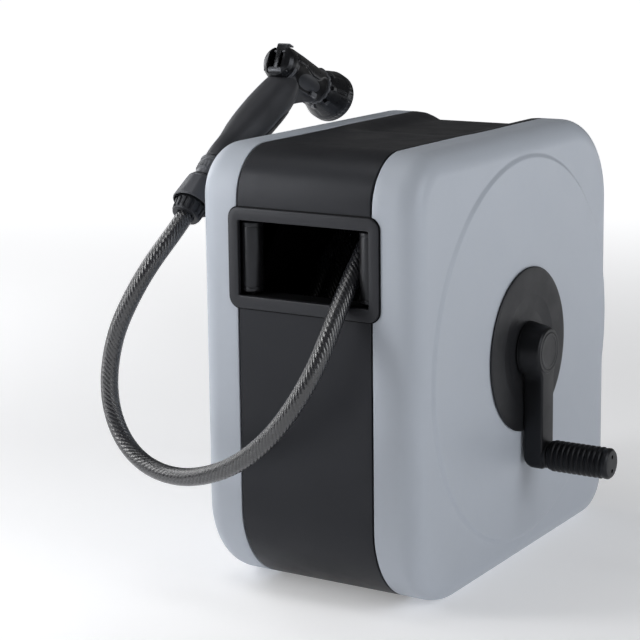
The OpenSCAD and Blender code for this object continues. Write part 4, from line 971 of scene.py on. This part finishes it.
prof = soft([(15.15, 27.8), (18.4, 27.8, 0.4), (18.7, 28.7), (19.5, 30.0), (20.3, 32), (21.2, 34.6), (21.4, 35.3), (21.9, 36.8), (22.3, 38), (23.0, 40, 2), (23.8, 43), (24.4, 45, 2), (25.0, 47.4), (25.3, 48.7, 1.0),
             (26.3, 51.6, 0.6), (26.4, 52.6, 0.2), (25.9, 53.0, 0.2), (25.9, 54.0, 0.2), (26.4, 54.5, 0.2), (26.4, 56, 0.2), (26.4, 61, 0.2), (26.4, 62.6, 0.8), (25.0, 64.8, 0.9), (23.3, 64.8, 0.3), (23.3, 53.3), (15.15, 53.3)], 3)
ob = lathe("spray_head", prof, BAR, M_NOZ, 288, closed=True, mod=flute)
place(ob, "head", "spray_head")

# hose connector
def ribs_mod(n, h0, h1, deep, rmin, duty=0.1):
    return lambda r, h, p: np.where((h > h0) & (h < h1) & (r > rmin), r - deep * sstep((np.cos(n * p) - duty) / 0.35), r)
ob = lathe("nozzle_stub", soft([(4.6, 0.6), (10.8, 0.6, 0.4), (12.6, 1.6, 0.9), (13.1, 3.0, 0.6), (13.1, 5.4, 0.7), (12.0, 6.2, 0.4), (11.8, 7.0, 0.3), (12.7, 7.9, 0.3), (13.0, 8.6, 0.2), (13.1, 16.0, 0.5), (11.6, 18.4, 0.6),
                                (11.4, 22.9, 0.3), (8.0, 22.9), (8.0, 35.6, 0.5), (4.6, 35.6)], 4), NECK, M_TRIM, 192, closed=True, mod=ribs_mod(24, 8.7, 16.4, 0.6, 12.4))
place(ob, "nozzle", "nozzle_stub")
ob = lathe("connector_body", soft([(8.1, 24.5), (13.9, 24.5, 0.5), (13.9, 50.4, 0.3), (9.95, 50.4), (9.95, 57.9), (6.15, 57.9), (6.15, 61.9), (4.6, 61.9), (4.6, 37), (8.1, 37)], 3), NECK, M_CONN, 96, closed=True)
place(ob, "nozzle", "connector_body")
prof = soft([(14.15, 26.6), (14.9, 26.6, 0.4), (15.8, 27.7, 0.6), (16.1, 29.2, 0.3), (15.7, 29.6, 0.2), (15.8, 30.8, 0.2), (16.45, 31.2, 0.3), (18.0, 43, 2), (19.6, 54.2, 0.9), (19.2, 55.7, 0.5), (18.1, 55.8, 0.2), (18.1, 47.2), (14.15, 47.2)], 4)
def dents(r, h, p):
    q = (p - pi / 4) % (pi / 2) - pi / 4
    return r - np.where((r > 15.5) & (h > 33) & (h < 52), 0.55 * sstep((0.42 - np.abs(q)) / 0.14) * (0.5 - 0.5 * np.cos((h - 33) / 19 * tau)), 0)
ob = lathe("connector_sleeve", prof, NECK, M_SKIRT, 128, closed=True, mod=dents)
place(ob, "sleeve", "connector_sleeve")
prof = soft([(6.5, 51.8), (14.8, 51.8, 0.6), (14.9, 55.4, 0.3), (14.9, 56.2, 0.2), (15.75, 57.4, 0.4), (15.3, 62, 1), (14.9, 66.4, 0.7), (14.0, 67.8, 0.4), (13.4, 69.4, 0.5), (8.9, 69.4, 0.3), (8.85, 66), (6.5, 63)], 3)
ob = lathe("hose_nut", prof, NECK, M_CONN, 240, closed=True, mod=ribs_mod(15, 56.8, 67.2, 1.3, 13.6, -0.1))
place(ob, "nozzle", "hose_nut")

# =====================================================================
# CAD pieces that keep their own mesh
# =====================================================================
KEEP = {"roller_pins": M_STEEL, "left_bush": M_WHITE, "right_bush": M_WHITE, "rubber_feet": M_RUBBER, "case_screws": M_BRASS, "holder_screws": M_BRASS,
        "drum_core": M_DRUM_SHADE, "drum_flange_left": M_DRUM_SHADE, "drum_flange_right": M_DRUM_SHADE, "water_spigot": M_WHITE, "spigot_o_rings": M_RUBBER,
        "drum_elbow": M_WHITE, "hose_clamp": M_STEEL, "crank_shaft": M_STEEL, "crank_bolt": M_BRASS, "grip_pin": M_STEEL, "lever_pin": M_CAP,
        "valve_spool": M_WHITE, "valve_seat": M_RUBBER, "spray_face": M_TRIM}
for nm, mat in KEEP.items():
    ob = frame["nodes"][nm]
    for o in [ob, *ob.children_recursive]:
        if o.type == "MESH":
            o.data.materials.clear()
            o.data.materials.append(mat)

# =====================================================================
# floor, backdrop and light
# =====================================================================
def plane(name, corners, mat):
    me = bpy.data.meshes.new(name)
    me.from_pydata(corners, [], [(0, 1, 2, 3)])
    me.materials.append(mat)
    ob = bpy.data.objects.new(name, me)
    SC.collection.objects.link(ob)
    return ob
floor_mat = plastic("floor_pale", (0.86, 0.86, 0.87), 0.7, 4.0, 0.02, 0.004, 0.0, 0.2)
floor_b = next(n for n in floor_mat.node_tree.nodes if n.type == "BSDF_PRINCIPLED")
def floor_glow():
    """The floor brightens away from the object, so that it stays pale to the horizon."""
    nt = floor_mat.node_tree
    tc, ln, mr = nt.nodes.new("ShaderNodeTexCoord"), nt.nodes.new("ShaderNodeVectorMath"), nt.nodes.new("ShaderNodeMapRange")
    ln.operation = "LENGTH"
    nt.links.new(tc.outputs["Object"], ln.inputs[0])
    mr.interpolation_type = "SMOOTHSTEP"
    for i, x in enumerate((0.5, 2.6, 0.28, 0.92)): mr.inputs[i + 1].default_value = x
    nt.links.new(ln.outputs["Value"], mr.inputs[0])
    nt.links.new(mr.outputs[0], floor_b.inputs["Emission Strength"])
floor_b.inputs["Emission Color"].default_value = (0.985, 0.99, 1.0, 1)
floor_glow()
plane("floor", [(-34, -34, 0), (34, -34, 0), (34, 34, 0), (-34, 34, 0)], floor_mat)
wall_mat = plastic("backdrop_pale", (0.86, 0.86, 0.87), 0.9, 4.0, 0.02, 0.004, 0.0, 0.1)
wall_b = next(n for n in wall_mat.node_tree.nodes if n.type == "BSDF_PRINCIPLED")
wall_b.inputs["Emission Color"].default_value = (0.985, 0.99, 1.0, 1)
wall_b.inputs["Emission Strength"].default_value = 0.95
for k in range(16):
    q0, q1 = k * tau / 16, (k + 1) * tau / 16
    wall = plane(f"backdrop_{k}", [(30 * cos(q0), 30 * sin(q0), -0.1), (30 * cos(q1), 30 * sin(q1), -0.1), (30 * cos(q1), 30 * sin(q1), 22), (30 * cos(q0), 30 * sin(q0), 22)], wall_mat)
    wall.visible_diffuse = wall.visible_glossy = wall.visible_shadow = False

def area(name, loc, target, size, power, colour=(1, 1, 1), size_y=None):
    d = bpy.data.lights.new(name, "AREA")
    d.energy, d.size, d.color = power, size, colour
    if size_y:
        d.shape, d.size_y = "RECTANGLE", size_y
    ob = bpy.data.objects.new(name, d)
    SC.collection.objects.link(ob)
    ob.location = loc
    ob.rotation_euler = (Vector(target) - Vector(loc)).to_track_quat("-Z", "Y").to_euler()
    return ob
area("left", (-1.5, 0.1, 0.9), (0, 0, 0.25), 1.0, 8.9, (0.985, 0.99, 1.0), 1.0)
area("top_front", (-0.35, -0.42, 1.8), (-0.02, -0.08, 0.35), 0.7, 3.8, (1, 1, 1), 0.7)
area("left_strip", (-0.62, -0.72, 0.62), (-0.08, -0.2, 0.37), 0.25, 4.5, (1, 1, 1), 0.7)
area("right_far", (2.85, -0.1, 1.4), (0, 0, 0.27), 1.6, 33.0, (0.97, 0.985, 1.0), 1.8)
world = bpy.data.worlds.new("studio")
SC.world = world
world.use_nodes = True
world.node_tree.nodes["Background"].inputs[0].default_value = (1, 1, 1, 1)
world.node_tree.nodes["Background"].inputs[1].default_value = 0.115

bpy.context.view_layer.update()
